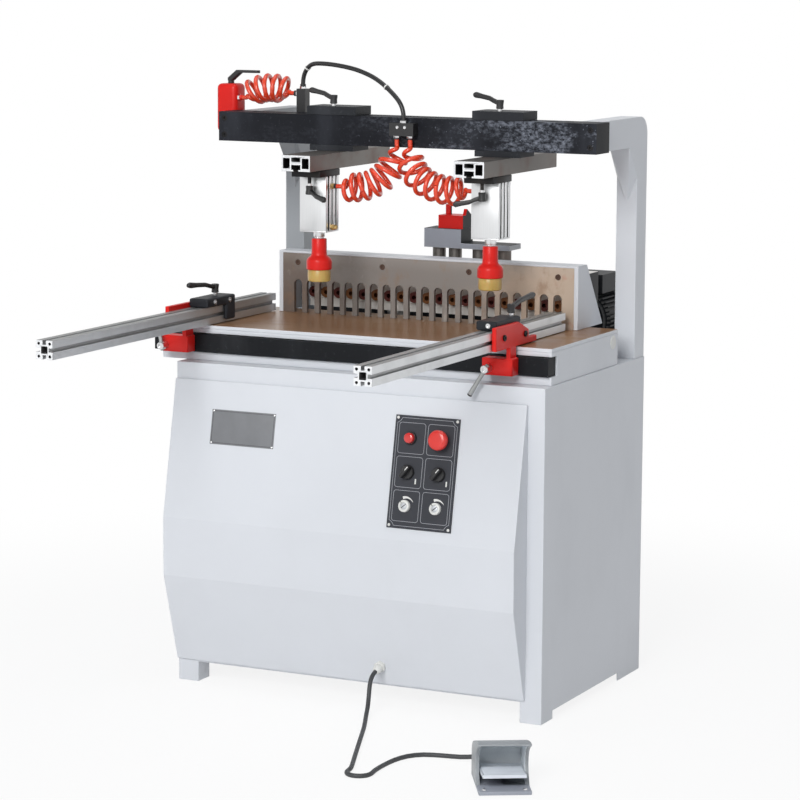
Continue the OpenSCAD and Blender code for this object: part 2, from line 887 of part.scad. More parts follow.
module cylinder_unit(x, y, side) {
    color("dimgray") translate([x, y, 0]) difference() {
        union() {
            span_x(cyl_w + 2 * sheet, -cyl_plate_front, cyl_d / 2, cyl_top, cyl_top + cyl_plate_t);
            span_x(cyl_w, -cyl_d / 2, cyl_d / 2, cyl_low + cyl_cap_h, cyl_top + cut);
            translate([0, 0, cyl_low]) cylinder(d = cyl_cap_d, h = cyl_cap_h + cut);
            for (z = [port_top, port_low])
                translate([side > 0 ? cyl_w / 2 - cut : -cyl_w / 2 - port_len, 0, cyl_top - z])
                    rod_x(port_d, port_len + cut);
        }
        translate([0, 0, cyl_low - cut]) cylinder(d = rod_d + 2 * gap, h = cyl_bore_len + cut);
    }
}

module arm_lever(x, y, turn) {
    color("black") translate([x, y - arm_lever_y, cyl_top - gap]) rotate([180, 0, turn]) {
        cylinder(d = stem_d, h = arm_lever_stem + cut);
        translate([0, 0, arm_lever_stem]) clamp_lever(arm_lever_len, lever_rise);
    }
}

module press_rod(x, y) {
    color("firebrick") translate([x, y, 0]) {
        translate([0, 0, band_low]) {
            cylinder(d = band_d, h = band_h);
            translate([0, 0, band_h]) cylinder(d1 = band_d, d2 = neck_d, h = cone_h);
            translate([0, 0, band_h + cone_h]) cylinder(d1 = neck_d, d2 = neck_top_d, h = neck_h);
        }
        translate([0, 0, cyl_low - rod_show_l - cut]) cylinder(d = rod_d, h = rod_show_l + rod_inside_l);
    }
}

module press_pad(x, y) {
    color("orange") translate([x, y, band_low - pad_h]) cylinder(d = pad_d, h = pad_h);
}

module carriage_left() {
    carriage(clamp_left_x);
}

module carriage_right() {
    carriage(clamp_right_x);
}

module clamp_arm_left() {
    clamp_arm(clamp_left_x, arm_front_left);
}

module clamp_arm_right() {
    clamp_arm(clamp_right_x, arm_front_right);
}

module beam_lever_left() {
    beam_lever(clamp_left_x);
}

module beam_lever_right() {
    beam_lever(clamp_right_x);
}

module cylinder_left() {
    cylinder_unit(clamp_left_x, foot_left_y, 1);
}

module cylinder_right() {
    cylinder_unit(clamp_right_x, foot_right_y, -1);
}

module arm_lever_left() {
    arm_lever(clamp_left_x, foot_left_y, arm_lever_turn_left);
}

module arm_lever_right() {
    arm_lever(clamp_right_x, foot_right_y, arm_lever_turn_right);
}

module press_rod_left() {
    press_rod(clamp_left_x, foot_left_y);
}

module press_rod_right() {
    press_rod(clamp_right_x, foot_right_y);
}

module press_pad_left() {
    press_pad(clamp_left_x, foot_left_y);
}

module press_pad_right() {
    press_pad(clamp_right_x, foot_right_y);
}

// Rails: side is 1 where the bracket is on the right of its rail, -1 where it is on the left

module rail(x, front) {
    color("silver") translate([x, -front, rail_z]) difference() {
        span_x(rail_s, 0, rail_len, 0, rail_s);
        translate([0, 0, rail_s / 2]) {
            for (turn = [0, 90, 180, 270])
                rotate([0, turn, 0])
                    span_x(rail_slot, -cut, rail_len + cut, rail_s / 2 - rail_slot_d, rail_s / 2 + cut);
            translate([0, -cut, 0]) rod_y(rail_core_d, rail_len + 2 * cut);
            for (sx = [-1, 1], sz = [-1, 1])
                translate([sx * rail_s / 3, -cut, sz * rail_s / 3]) rod_y(rail_hole_d, rail_len + 2 * cut);
        }
    }
}

module rail_bracket(x, side, reach) {
    upper = [[-bracket_front, 0], [-bracket_tail, 0], [-bracket_tail, bracket_tail_h],
        [-bracket_rear, bracket_tail_h], [-bracket_rear, bracket_side_h], [-bracket_top_rear, bracket_h],
        [-bracket_front, bracket_h]];
    outer = rail_s / 2;
    back = bar_face - gap;
    color("firebrick") translate([x, 0, 0]) mirror([side > 0 ? 0 : 1, 0, 0]) {
        translate([outer, 0, rail_z]) rotate([90, 0, 90]) linear_extrude(bracket_t) polygon(upper);
        span([outer + reach - bracket_block_w, back - bracket_block_d, bracket_low],
            [outer + reach, back, bracket_low + bracket_block_h]);
        span([outer, back - bracket_block_d, bracket_low], [outer + bracket_t, back, rail_z + cut]);
    }
}

module bracket_handle(x, turn) {
    y = bar_face - 2 * gap - bracket_block_d;
    color("silver") translate([x, y, bracket_low + bracket_block_h / 2]) rotate([90, 0, 0]) {
        cylinder(d = handle_hub_d, h = handle_hub_l);
        translate([0, 0, handle_hub_l - handle_d]) rotate([0, 0, turn]) {
            rod_x(handle_d, handle_len);
            translate([handle_len, 0, 0]) sphere(d = handle_ball_d, $fn = 32);
        }
    }
}

// A stop on its rail: a block on top, clear of the bracket, and a skirt down the inner side at its rear
module stop_block(x, y, side) {
    outer = rail_s / 2 - stop_clear;
    inner = -rail_s / 2 - gap;
    color("dimgray") translate([x, y, rail_top + gap]) mirror([side > 0 ? 0 : 1, 0, 0]) {
        span([inner - stop_skirt_t, -stop_l / 2, 0], [outer, stop_l / 2, stop_t]);
        span([inner - stop_skirt_t, stop_l / 2 - stop_skirt_l, -stop_skirt_h], [inner, stop_l / 2, cut]);
    }
}

module stop_lever(x, y, turn) {
    color("black") translate([x, y, rail_top + stop_t + 2 * gap]) rotate([0, 0, turn])
        clamp_lever(stop_lever_len, lever_rise);
}

module rail_left() {
    rail(rail_left_mid, rail_left_front);
}

module rail_right() {
    rail(rail_right_mid, rail_right_front);
}

module rail_bracket_left() {
    rail_bracket(rail_left_mid, -1, bracket_reach_left);
}

module rail_bracket_right() {
    rail_bracket(rail_right_mid, 1, bracket_reach_right);
}

module bracket_handle_left() {
    bracket_handle(handle_left_x, handle_turn_left);
}

module bracket_handle_right() {
    bracket_handle(rail_right_x, handle_turn_right);
}

module stop_block_left() {
    stop_block(rail_left_mid, stop_left_y, -1);
}

module stop_block_right() {
    stop_block(rail_right_mid, stop_right_y, 1);
}

module stop_lever_left() {
    stop_lever(rail_left_mid, stop_left_y + stop_hub_left, -90);
}

module stop_lever_right() {
    stop_lever(rail_right_mid, stop_right_y + stop_hub_right, 90);
}

// Swept tubes: points along a route, a frame carried along it without twist, and rings of triangles

function unit(v) = v / norm(v);

function tangents(route) = let (last = len(route) - 1)
    [for (i = [0 : last]) unit(route[min(i + 1, last)] - route[max(i - 1, 0)])];

function normals(along) = let (last = len(along) - 1, first = unit(cross(along[0], first_side)))
    [for (i = 0, v = first; i <= last;
        i = i + 1, v = unit(v - (v * along[min(i, last)]) * along[min(i, last)])) v];

// A smooth curve through all the points of a route, with a number of steps between each two
function smooth(route, steps) = let (last = len(route) - 1) concat(
    [for (i = [0 : last - 1], j = [0 : steps - 1])
        let (
            a = route[max(i - 1, 0)],
            b = route[i],
            c = route[i + 1],
            d = route[min(i + 2, last)],
            u = j / steps
        )
        b + ((c - a) * u + (2 * a - 5 * b + 4 * c - d) * u * u + (3 * b - a - 3 * c + d) * u * u * u) / 2],
    [route[last]]);

// The least distance between far stretches of a tube's skin
function least_gap(route, diameter) =
    min([for (i = [0 : len(route) - 1], j = [i + curl_rings - 2 : 1 : len(route) - 1])
        norm(route[i] - route[j])]) - diameter;

module swept_tube(route, diameter, sides) {
    along = tangents(route);
    across = normals(along);
    last = len(route) - 1;
    rings = [for (i = [0 : last], s = [0 : sides - 1])
        let (turn = s * 360 / sides, other = cross(along[i], across[i]))
        route[i] + diameter / 2 * (cos(turn) * across[i] + sin(turn) * other)];
    skin = [for (i = [0 : last - 1], s = [0 : sides - 1], half = [0, 1])
        let (a = i * sides + s, b = i * sides + (s + 1) % sides)
        half == 0 ? [a, a + sides, b] : [b, a + sides, b + sides]];
    ends = [for (s = [1 : sides - 2], end = [0, 1])
        end == 0 ? [0, s, s + 1] : [last * sides, last * sides + s + 1, last * sides + s]];
    polyhedron(points = rings, faces = concat(skin, ends), convexity = 10);
}

function bezier(p, t) = pow(1 - t, 3) * p[0] + 3 * pow(1 - t, 2) * t * p[1] + 3 * (1 - t) * t * t * p[2]
    + t * t * t * p[3];

// A coil that leaves one port and reaches another: straight ends, then curls round a bent axis
function coil_route(from, from_way, to, to_way, bend, curls) =
    let (
        p = [from + coil_lead * from_way, from + bend[0], to + bend[1], to + coil_lead * to_way],
        n = curls * curl_rings,
        step = 0.5 / n
    )
    concat([from, from + tube_d * from_way],
        [for (i = [1 : n - 1])
            let (
                t = i / n,
                way = unit(bezier(p, t + step) - bezier(p, t - step)),
                u = unit(cross(way, [0, 1, 0])),
                turn = 360 * curls * t,
                r = coil_r * min(1, curls * min(t, 1 - t))
            )
            bezier(p, t) + r * (cos(turn) * u + sin(turn) * cross(way, u))],
        [to + tube_d * to_way, to]);

// Air system

function manifold_port(side) =
    [manifold_x + side * manifold_port_x, -beam_front - manifold_d / 2, manifold_low - manifold_port_h];

function cylinder_port(x, y, side) = [x + side * (cyl_w / 2 + port_len), y, cyl_top - port_top];

module manifold() {
    top = manifold_low + manifold_h;
    color("black") {
        translate([manifold_x, 0, 0]) {
            span_x(manifold_w, -beam_front - manifold_d, -beam_front, manifold_low, top);
            translate([0, -beam_front - manifold_d / 2, top - cut])
                cylinder(d = manifold_port_d, h = manifold_port_h + cut);
        }
        for (side = [-1, 1])
            translate(manifold_port(side)) cylinder(d = manifold_port_d, h = manifold_port_h + cut);
    }
}

module hose_tee() {
    y0 = beam_rear;
    color("black") {
        translate([tee_x, 0, 0]) {
            span_x(tee_w, y0, tee_y, beam_top - tee_low, beam_top - tee_foot);
            span_x(tee_w, y0 + tee_foot, y0 + tee_foot + tee_w, beam_top - tee_low, beam_top + tee_top);
            translate([0, tee_y, beam_top + tee_top - cut]) cylinder(d = tee_port_d, h = tee_port_l + cut);
        }
        translate([tee_x - tee_w / 2 - tee_port_l, tee_y, tee_port_z]) rod_x(tee_port_d, tee_port_l + cut);
    }
}

module valve_body() {
    low = beam_z + valve_low;
    color("firebrick") {
        span([valve_x - valve_w / 2, valve_y - valve_d / 2, low],
            [valve_right, valve_y + valve_d / 2, beam_z + valve_high]);
        span([valve_right - cut, valve_y - valve_arm_d / 2, low],
            [-portal_w / 2, valve_y + valve_arm_d / 2, low + valve_arm_h]);
        translate([valve_right - cut, tee_y, beam_z + valve_port_z]) rod_x(tee_port_d, tee_port_l + cut);
    }
}

module valve_lever() {
    color("black") translate([valve_x, valve_y, beam_z + valve_high + gap]) {
        cylinder(d = valve_stem_d, h = valve_stem_h);
        hull() {
            translate([0, 0, valve_stem_h - valve_lever_t])
                cylinder(d = valve_lever_w, h = valve_lever_t, $fn = 32);
            translate([valve_lever_len / 3, 0, valve_stem_h - valve_lever_t + valve_lever_rise])
                cylinder(d = valve_lever_w, h = valve_lever_t, $fn = 32);
        }
        hull() {
            for (x = [valve_lever_len / 3, valve_lever_len])
                translate([x, 0, valve_stem_h - valve_lever_t + valve_lever_rise])
                    cylinder(d = valve_lever_w, h = valve_lever_t, $fn = 32);
        }
    }
}

rear_coil = coil_route([valve_right + tee_port_l, tee_y, beam_z + valve_port_z], [1, 0, 0],
    [tee_x - tee_w / 2 - tee_port_l, tee_y, tee_port_z], [-1, 0, 0], rear_bend, rear_curls);
left_coil = coil_route(manifold_port(-1), [0, 0, -1],
    cylinder_port(clamp_left_x, foot_left_y, 1), [1, 0, 0], [coil_drop, coil_reach], clamp_curls);
right_coil = coil_route(manifold_port(1), [0, 0, -1],
    cylinder_port(clamp_right_x, foot_right_y, -1), [-1, 0, 0],
    [coil_drop, [-coil_reach[0], coil_reach[1], coil_reach[2]]], clamp_curls);
echo(least_gap_rear = least_gap(rear_coil, tube_d), least_gap_left = least_gap(left_coil, tube_d),
    least_gap_right = least_gap(right_coil, tube_d));

module supply_hose() {
    color("black") swept_tube(smooth(supply_route, route_steps), tube_d, cord_sides);
}

module rear_coil_hose() {
    color("red") swept_tube(rear_coil, tube_d, tube_sides);
}

module coil_hose_left() {
    color("red") swept_tube(left_coil, tube_d, tube_sides);
}

module coil_hose_right() {
    color("red") swept_tube(right_coil, tube_d, tube_sides);
}

// Foot switch and its cord

module cord_gland() {
    out = cover_lip + (gland_z - cover_bottom) * tan(lower_slope);
    color("white") translate([gland_x, -cabinet_front - out, gland_z]) rotate([90 + lower_slope, 0, 0]) {
        cylinder(d = gland_nut_d, h = gland_l / 2);
        cylinder(d = gland_d, h = gland_l);
    }
}

module pedal_cord() {
    color("dimgray") swept_tube(smooth(cord_route, route_steps), cord_d, cord_sides);
}

module at_foot_switch() {
    translate([foot_switch_x, foot_switch_y, 0]) rotate([0, 0, foot_switch_turn]) children();
}

module foot_switch() {
    depth = foot_switch_d;
    inner_w = foot_switch_w - 2 * foot_wall;
    color("gray") at_foot_switch() {
        span_x(foot_switch_w, -depth / 2, depth / 2, 0, foot_base_t);
        difference() {
            rotate([90, 0, 90]) translate([0, 0, -foot_switch_w / 2]) linear_extrude(foot_switch_w)
                polygon([for (p = hood_shares) [p[0] * depth, p[1] * foot_switch_h]]);
            span_x(inner_w, -depth, depth / 2 - foot_wall, foot_base_t, foot_switch_h - foot_wall);
        }
        translate([0, depth / 2 - cut, foot_port_z]) rod_y(foot_port_d, foot_port_l + cut);
    }
}

module foot_pedal() {
    inner_w = foot_switch_w - 2 * foot_wall - 2 * gap;
    color("lightgray") at_foot_switch() translate([0, pedal_hinge_y, pedal_hinge_z]) {
        translate([-inner_w / 2, 0, 0]) rod_x(pedal_pin_d, inner_w);
        rotate([-pedal_tilt, 0, 0])
            span_x(inner_w - 2 * pedal_gap, -pedal_len, 0, -pedal_t / 2, pedal_t / 2);
    }
}

// Every node, moved to the object's own origin
module placed() {
    translate([origin_x, origin_y, 0]) children();
}

placed() cabinet();
placed() front_cover();
placed() table_box();
placed() table_top();
placed() guide_bar();
placed() fence_plate();
placed() fence_gussets();
placed() column_left();
placed() column_right();
placed() beam();
placed() frame_bolts();
placed() head_guides();
placed() gearbox();
placed() spindles();
placed() motor();
placed() lift_plate();
placed() lock_box();
placed() control_panel();
placed() power_lamp();
placed() stop_button();
placed() selector_left();
placed() selector_right();
placed() dial_left();
placed() dial_right();
placed() manifold();
placed() hose_tee();
placed() supply_hose();
placed() valve_body();
placed() valve_lever();
placed() rear_coil_hose();
placed() coil_hose_left();
placed() coil_hose_right();
placed() cord_gland();
placed() pedal_cord();
placed() foot_switch();
placed() foot_pedal();
placed() carriage_left();
placed() clamp_arm_left();
placed() beam_lever_left();
placed() cylinder_left();
placed() arm_lever_left();
placed() press_rod_left();
placed() press_pad_left();
placed() carriage_right();
placed() clamp_arm_right();
placed() beam_lever_right();
placed() cylinder_right();
placed() arm_lever_right();
placed() press_rod_right();
placed() press_pad_right();
placed() rail_left();
placed() rail_bracket_left();
placed() bracket_handle_left();
placed() stop_block_left();
placed() stop_lever_left();
placed() rail_right();
placed() rail_bracket_right();
placed() bracket_handle_right();
placed() stop_block_right();
placed() stop_lever_right();
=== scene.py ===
# %% [markdown]
# # A line boring machine, dressed for its portrait
# The solids of this machine come ready made: a cabinet, a table with two rails, a slotted fence, a drill head
# and two air clamps on a portal. Blender adds what a solid model lacks: rounded edges, paint, wear, screws,
# hoses and light. Every length below is in millimetres until `spot` turns it into Blender's metres.

# %% Load the solids
import json
import math

import bpy
from mathutils import Matrix, Vector

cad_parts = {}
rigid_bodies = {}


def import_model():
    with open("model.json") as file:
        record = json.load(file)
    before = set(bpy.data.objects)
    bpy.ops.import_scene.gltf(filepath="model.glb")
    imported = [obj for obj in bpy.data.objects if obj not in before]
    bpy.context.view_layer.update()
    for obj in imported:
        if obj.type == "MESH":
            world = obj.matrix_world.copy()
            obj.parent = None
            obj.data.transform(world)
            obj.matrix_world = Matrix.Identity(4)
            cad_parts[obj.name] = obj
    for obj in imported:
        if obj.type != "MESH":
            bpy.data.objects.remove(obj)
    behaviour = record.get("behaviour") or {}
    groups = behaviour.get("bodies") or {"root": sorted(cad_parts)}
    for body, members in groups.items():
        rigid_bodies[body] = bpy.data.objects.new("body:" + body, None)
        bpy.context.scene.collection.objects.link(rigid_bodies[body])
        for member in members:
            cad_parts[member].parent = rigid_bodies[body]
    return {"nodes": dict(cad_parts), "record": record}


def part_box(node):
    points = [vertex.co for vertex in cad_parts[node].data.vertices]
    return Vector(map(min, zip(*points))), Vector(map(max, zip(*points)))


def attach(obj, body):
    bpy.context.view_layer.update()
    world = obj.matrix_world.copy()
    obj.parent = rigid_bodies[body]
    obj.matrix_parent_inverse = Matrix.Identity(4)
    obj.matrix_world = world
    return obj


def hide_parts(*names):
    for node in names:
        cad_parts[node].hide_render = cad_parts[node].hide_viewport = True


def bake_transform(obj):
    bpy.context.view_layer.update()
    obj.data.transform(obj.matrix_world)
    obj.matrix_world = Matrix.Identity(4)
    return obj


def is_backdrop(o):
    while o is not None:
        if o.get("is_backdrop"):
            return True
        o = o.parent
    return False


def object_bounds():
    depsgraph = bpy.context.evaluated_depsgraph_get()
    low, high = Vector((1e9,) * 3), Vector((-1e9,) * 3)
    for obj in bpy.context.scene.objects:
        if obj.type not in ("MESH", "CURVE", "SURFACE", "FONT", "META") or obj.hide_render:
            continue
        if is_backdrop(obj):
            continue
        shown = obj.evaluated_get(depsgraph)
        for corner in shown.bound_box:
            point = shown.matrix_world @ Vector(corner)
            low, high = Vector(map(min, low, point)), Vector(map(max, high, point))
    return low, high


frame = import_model()
cad_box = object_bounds()
nodes = frame["nodes"]
body_of = {node: body for body, members in frame["record"]["behaviour"]["bodies"].items() for node in members}
slot_of = {part["node"]: part["material_slot"] for part in frame["record"]["subparts"]}
MM = 0.001
fence_low, fence_high = (Vector(corner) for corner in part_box("fence_plate"))
MIDDLE = Vector(((fence_low.x + fence_high.x) / 2, fence_low.y, 0)) / MM


def spot(x, y, z):
    """A point measured in mm from the middle slot, the fence's face and the floor, in Blender's metres."""
    return (MIDDLE + Vector((x, y, z))) * MM


# %% [markdown]
# ## Camera
# The photograph was taken from far away with a long lens, to the right of the machine and a little above it.
# The camera was fitted to the 21 slots, whose spacing is known, so its numbers are set here and not found by
# eye.

# %% Camera
YAW, PITCH, ROLL = math.radians(25.977), math.radians(8.747), math.radians(0.303)
CAMERA_PLACE = (2824.0, -5920.4, 1624.5)
SENSOR = 36
FOCAL_PIXELS = 2961.5
FRAME_PIXELS = 800
ahead = Vector((-math.sin(YAW) * math.cos(PITCH), math.cos(YAW) * math.cos(PITCH), -math.sin(PITCH)))
level = Vector((math.cos(YAW), math.sin(YAW), 0))
above = level.cross(ahead)
right = level * math.cos(ROLL) + above * math.sin(ROLL)
above = above * math.cos(ROLL) - level * math.sin(ROLL)
lens = bpy.data.cameras.new("portrait_lens")
lens.sensor_width = SENSOR
lens.lens = SENSOR * FOCAL_PIXELS / FRAME_PIXELS
lens.clip_end = 60
camera = bpy.data.objects.new("portrait_camera", lens)
bpy.context.scene.collection.objects.link(camera)
turn = Matrix((right, above, -ahead)).transposed().to_4x4()
camera.matrix_world = Matrix.Translation(spot(*CAMERA_PLACE)) @ turn
bpy.context.scene.camera = camera
print("camera at", [round(v, 3) for v in camera.location], "lens", round(lens.lens, 1))

# %% [markdown]
# ## Shader sums
# A material is a network of nodes, and long sums of nodes are hard to read. `Value` holds one socket, so that
# `1 - mask * 0.3` in Python adds the Math nodes by itself. `Network` holds a node tree, and its one method
# `node` adds any other node. `Finish` is the network of a material: it starts on Object coordinates, which
# stay fixed to each piece.


# %% Sockets as values
class Value:
    """One output socket, with arithmetic that adds Math nodes."""

    def __init__(self, network, socket):
        self.network = network
        self.socket = socket

    def sum(self, operation, *values):
        return self.network.node("Math", {"operation": operation}, dict(enumerate(values)))

    def __add__(self, other):
        return self.sum("ADD", self, other)

    def __sub__(self, other):
        return self.sum("SUBTRACT", self, other)

    def __rsub__(self, other):
        return self.sum("SUBTRACT", other, self)

    def __mul__(self, other):
        return self.sum("MULTIPLY", self, other)

    def __or__(self, other):
        return self.sum("MAXIMUM", self, other)

    __radd__ = __add__
    __rmul__ = __mul__


class Network:
    """A node tree that grows by one method."""

    def __init__(self, tree):
        self.tree = tree

    def node(self, kind, settings=None, values=None, out=0):
        """Adds a node: its settings come first, then what its inputs take. Gives one of its outputs."""
        made = self.tree.nodes.new("ShaderNode" + kind)
        for key, value in (settings or {}).items():
            if key == "stops":
                ramp = made.color_ramp.elements
                while len(ramp) < len(value):
                    ramp.new(1.0)
                for stop, (position, colour) in zip(ramp, value):
                    stop.position = position
                    stop.color = colour
            else:
                setattr(made, key, value)
        for key, value in (values or {}).items():
            self.feed(made.inputs[key], value)
        return Value(self, made.outputs[out])

    def feed(self, socket, value):
        if isinstance(value, Value):
            self.tree.links.new(value.socket, socket)
        else:
            socket.default_value = value

    def mix(self, factor, first, second):
        """Mixes two colours, each a Value or three numbers."""
        first, second = (c if isinstance(c, Value) else (*c, 1.0) for c in (first, second))
        return self.node("Mix", {"data_type": "RGBA"}, {0: factor, 6: first, 7: second}, out=2)


# %% Materials
class Finish(Network):
    """A material under construction: its shader, its Object coordinates, and the nodes it gathers."""

    def __init__(self, name, **fixed):
        self.material = bpy.data.materials.new(name)
        self.material.use_nodes = True
        super().__init__(self.material.node_tree)
        self.shader = self.tree.nodes["Principled BSDF"]
        self.place = self.node("TexCoord", out="Object")
        for socket, value in fixed.items():
            label = socket.replace("_", " ").title().replace("Ior", "IOR")
            self.shader.inputs[label].default_value = value

    def set(self, socket, value):
        self.feed(self.shader.inputs[socket], value)

    def noise(self, scale, detail=3.0, stretch=(1, 1, 1), rough=0.55, seed=0.0):
        """Noise between 0 and 1; scale counts blotches in a metre, stretch squeezes it along each axis."""
        shift = {"Vector": self.place, "Scale": stretch, "Location": (seed, seed, seed)}
        where = self.node("Mapping", None, shift)
        values = {"Vector": where, "Scale": scale, "Detail": detail, "Roughness": rough}
        return self.node("TexNoise", {"noise_dimensions": "3D"}, values)

    def between(self, value, low, high):
        """0 below low, 1 above high and a smooth step in between."""
        settings = {"interpolation_type": "SMOOTHSTEP"}
        return self.node("MapRange", settings, {"Value": value, "From Min": low, "From Max": high})

    def axis(self, letter):
        return self.node("SeparateXYZ", None, {"Vector": self.place}, out=letter)

    def bump(self, height, strength, depth):
        values = {"Height": height, "Strength": strength, "Distance": depth}
        self.set("Normal", self.node("Bump", None, values))


def grey(shade):
    return (shade, shade, shade)


print("shader helpers ready")

# %% [markdown]
# ## Paint
# The sheet metal is sprayed a light cool grey. Sprayed enamel isn't flat: it has an orange-peel skin, its
# gloss wanders, dust settles on it and fingers leave faint smears. The red and black castings wear the same
# recipe with other colours, and more of the dust where the photograph shows it. The beam is also scuffed,
# most of all towards its right end.

# %% Sprayed paint
PEEL_SCALE, PEEL_DEPTH = 420.0, 0.0004


def enamel(name, colour, gloss, peel=0.10, dust=0.06, dust_colour=(0.62, 0.60, 0.57), wear=None, shine=0.5):
    """Paint with clouds, specks and smears; wear(finish) is the share of scuffs and chips at each place."""
    finish = Finish(name, coat_weight=0.2 * shine, coat_roughness=0.2, specular_ior_level=shine)
    cloud = finish.noise(3.0, 4.0)
    speck = finish.between(finish.noise(160.0, 2.0), 0.62, 0.74)
    smear = finish.between(finish.noise(9.0, 5.0, (1, 1, 0.35)), 0.52, 0.78)
    shade = finish.mix(finish.between(cloud, 0.3, 0.7), [c * 0.965 for c in colour], colour)
    dirty = smear * dust + speck * (dust * 0.6)
    if wear is not None:
        grain = finish.between(finish.noise(75.0, 9.0, (1, 1, 1.6), 0.75), 0.40, 0.70)
        patch = finish.between(finish.noise(10.0, 4.0, (1, 1, 1.4), seed=2.0), 0.40, 0.62)
        chips = finish.between(finish.noise(150.0, 3.0, seed=5.0), 0.66, 0.72)
        dirty = dirty | ((grain * patch | chips) * wear(finish))
    finish.set("Base Color", finish.mix(dirty, shade, dust_colour))
    finish.set("Roughness", gloss + cloud * 0.10 + smear * 0.12)
    finish.bump(finish.noise(PEEL_SCALE, 1.0), peel, PEEL_DEPTH)
    return finish.material


def toward_right(finish):
    """The share of scuffs, which grows along the beam from left to right."""
    share = finish.between(finish.axis("X"), -0.45, 0.42)
    return share * share * 0.8 + 0.06


# %% Painted finishes
body_paint = enamel("body_paint", (0.67, 0.69, 0.725), 0.34, dust=0.05, dust_colour=(0.50, 0.49, 0.47))
gearbox_paint = enamel("gearbox_paint", (0.88, 0.85, 0.80), 0.42, dust=0.15, dust_colour=(0.42, 0.34, 0.26))
red_paint = enamel("red_paint", (0.72, 0.016, 0.012), 0.30, 0.10, 0.05, (0.30, 0.05, 0.04), shine=0.22)
beam_paint = enamel("beam_paint", (0.010, 0.011, 0.015), 0.45, 0.2, 0.06, (0.34, 0.37, 0.44),
                    wear=toward_right, shine=0.12)
bar_paint = enamel("bar_paint", (0.010, 0.011, 0.013), 0.42, 0.15, 0.05, (0.30, 0.31, 0.33), shine=0.10)
block_paint = enamel("block_paint", (0.016, 0.018, 0.022), 0.45, 0.25, 0.12, (0.18, 0.19, 0.22), shine=0.2)
motor_paint = enamel("motor_paint", (0.013, 0.015, 0.018), 0.45, 0.3, 0.15, (0.10, 0.11, 0.10), shine=0.2)
casting_paint = enamel("casting_paint", (0.31, 0.33, 0.345), 0.38, 0.7, 0.15, (0.55, 0.55, 0.54))
panel_paint = enamel("panel_paint", (0.042, 0.044, 0.052), 0.45, 0.08, 0.05, (0.20, 0.20, 0.22), shine=0.2)
lift_paint = enamel("lift_paint", (0.56, 0.58, 0.61), 0.40, 0.3, 0.12, (0.30, 0.30, 0.30), shine=0.3)
block_grey = enamel("block_grey_paint", (0.34, 0.36, 0.41), 0.40, 0.3, 0.15, (0.20, 0.20, 0.20), shine=0.3)
# A darker copy of the body paint for the left column: painted shade.
shaded_paint = enamel("shaded_paint", (0.33, 0.35, 0.37), 0.36, dust=0.05, dust_colour=(0.40, 0.39, 0.37))
print("painted finishes:", [m.name for m in bpy.data.materials if m.name.endswith("_paint")])

# %% [markdown]
# ## Metal, board, rubber and plastic
# Drawn aluminium shows fine lines along its length, and ground steel shows scratches. The fence has also
# taken up oil and resin in brown and reddish blotches, and it is darker on the left, grey in the middle and
# tan on the right. The table is a faced board, polished by the panels that slide over it.


# %% Drawn metal and moulded plastic
def drawn_metal(name, colour, rough, stretch, stain=0.15, stain_colour=(0.2, 0.19, 0.18)):
    finish = Finish(name, metallic=1.0)
    lines = finish.noise(900.0, 2.0, stretch)
    cloud = finish.between(finish.noise(14.0, 5.0), 0.45, 0.75)
    shade = finish.mix(lines, [c * 0.86 for c in colour], colour)
    finish.set("Base Color", finish.mix(cloud * stain, shade, stain_colour))
    finish.set("Roughness", rough + lines * 0.12 + cloud * 0.12)
    finish.bump(lines, 0.12, 0.0002)
    return finish.material


def moulded(name, colour, rough, grain=300.0, depth=0.10, **fixed):
    finish = Finish(name, **fixed)
    cloud = finish.noise(30.0, 4.0)
    finish.set("Base Color", finish.mix(cloud, [c * 0.85 for c in colour], [min(1, c * 1.1) for c in colour]))
    finish.set("Roughness", rough + cloud * 0.12)
    finish.bump(finish.noise(grain, 2.0), depth, 0.0003)
    return finish.material


# %% Fence, table and pad
def oiled_fence():
    finish = Finish("oiled_fence", metallic=0.2)
    across, up = finish.axis("X"), finish.axis("Z")
    blotch = finish.noise(9.0, 6.0, (1, 1, 1.4), 0.65)
    drift = across + (blotch - 0.5) * 0.4
    shade = finish.mix(finish.between(drift, -0.40, -0.18), (0.15, 0.115, 0.095), (0.24, 0.218, 0.20))
    shade = finish.mix(finish.between(drift, 0.0, 0.22), shade, (0.50, 0.395, 0.305))
    brown = finish.between(finish.noise(17.0, 6.0, (1, 1, 0.7), 0.65, 2.0), 0.54, 0.74)
    shade = finish.mix(brown * 0.6, shade, (0.26, 0.15, 0.085))
    pale = finish.between(finish.noise(30.0, 5.0, (1, 1, 0.5), 0.6, 3.0), 0.58, 0.75)
    shade = finish.mix(pale * 0.4 + finish.between(up, 0.90, 0.93) * 0.12, shade, (0.60, 0.56, 0.51))
    red = finish.between(finish.noise(24.0, 5.0, (1, 1, 0.8), 0.6, 7.0), 0.56, 0.70)
    red = red * finish.between(across, 0.20, 0.30)
    finish.set("Base Color", finish.mix(red * 0.35, shade, (0.50, 0.10, 0.06)))
    scratch = finish.noise(700.0, 2.0, (0.05, 1, 1))
    finish.set("Roughness", 0.34 + scratch * 0.14 + brown * 0.16)
    finish.bump(scratch, 0.10, 0.0002)
    return finish.material


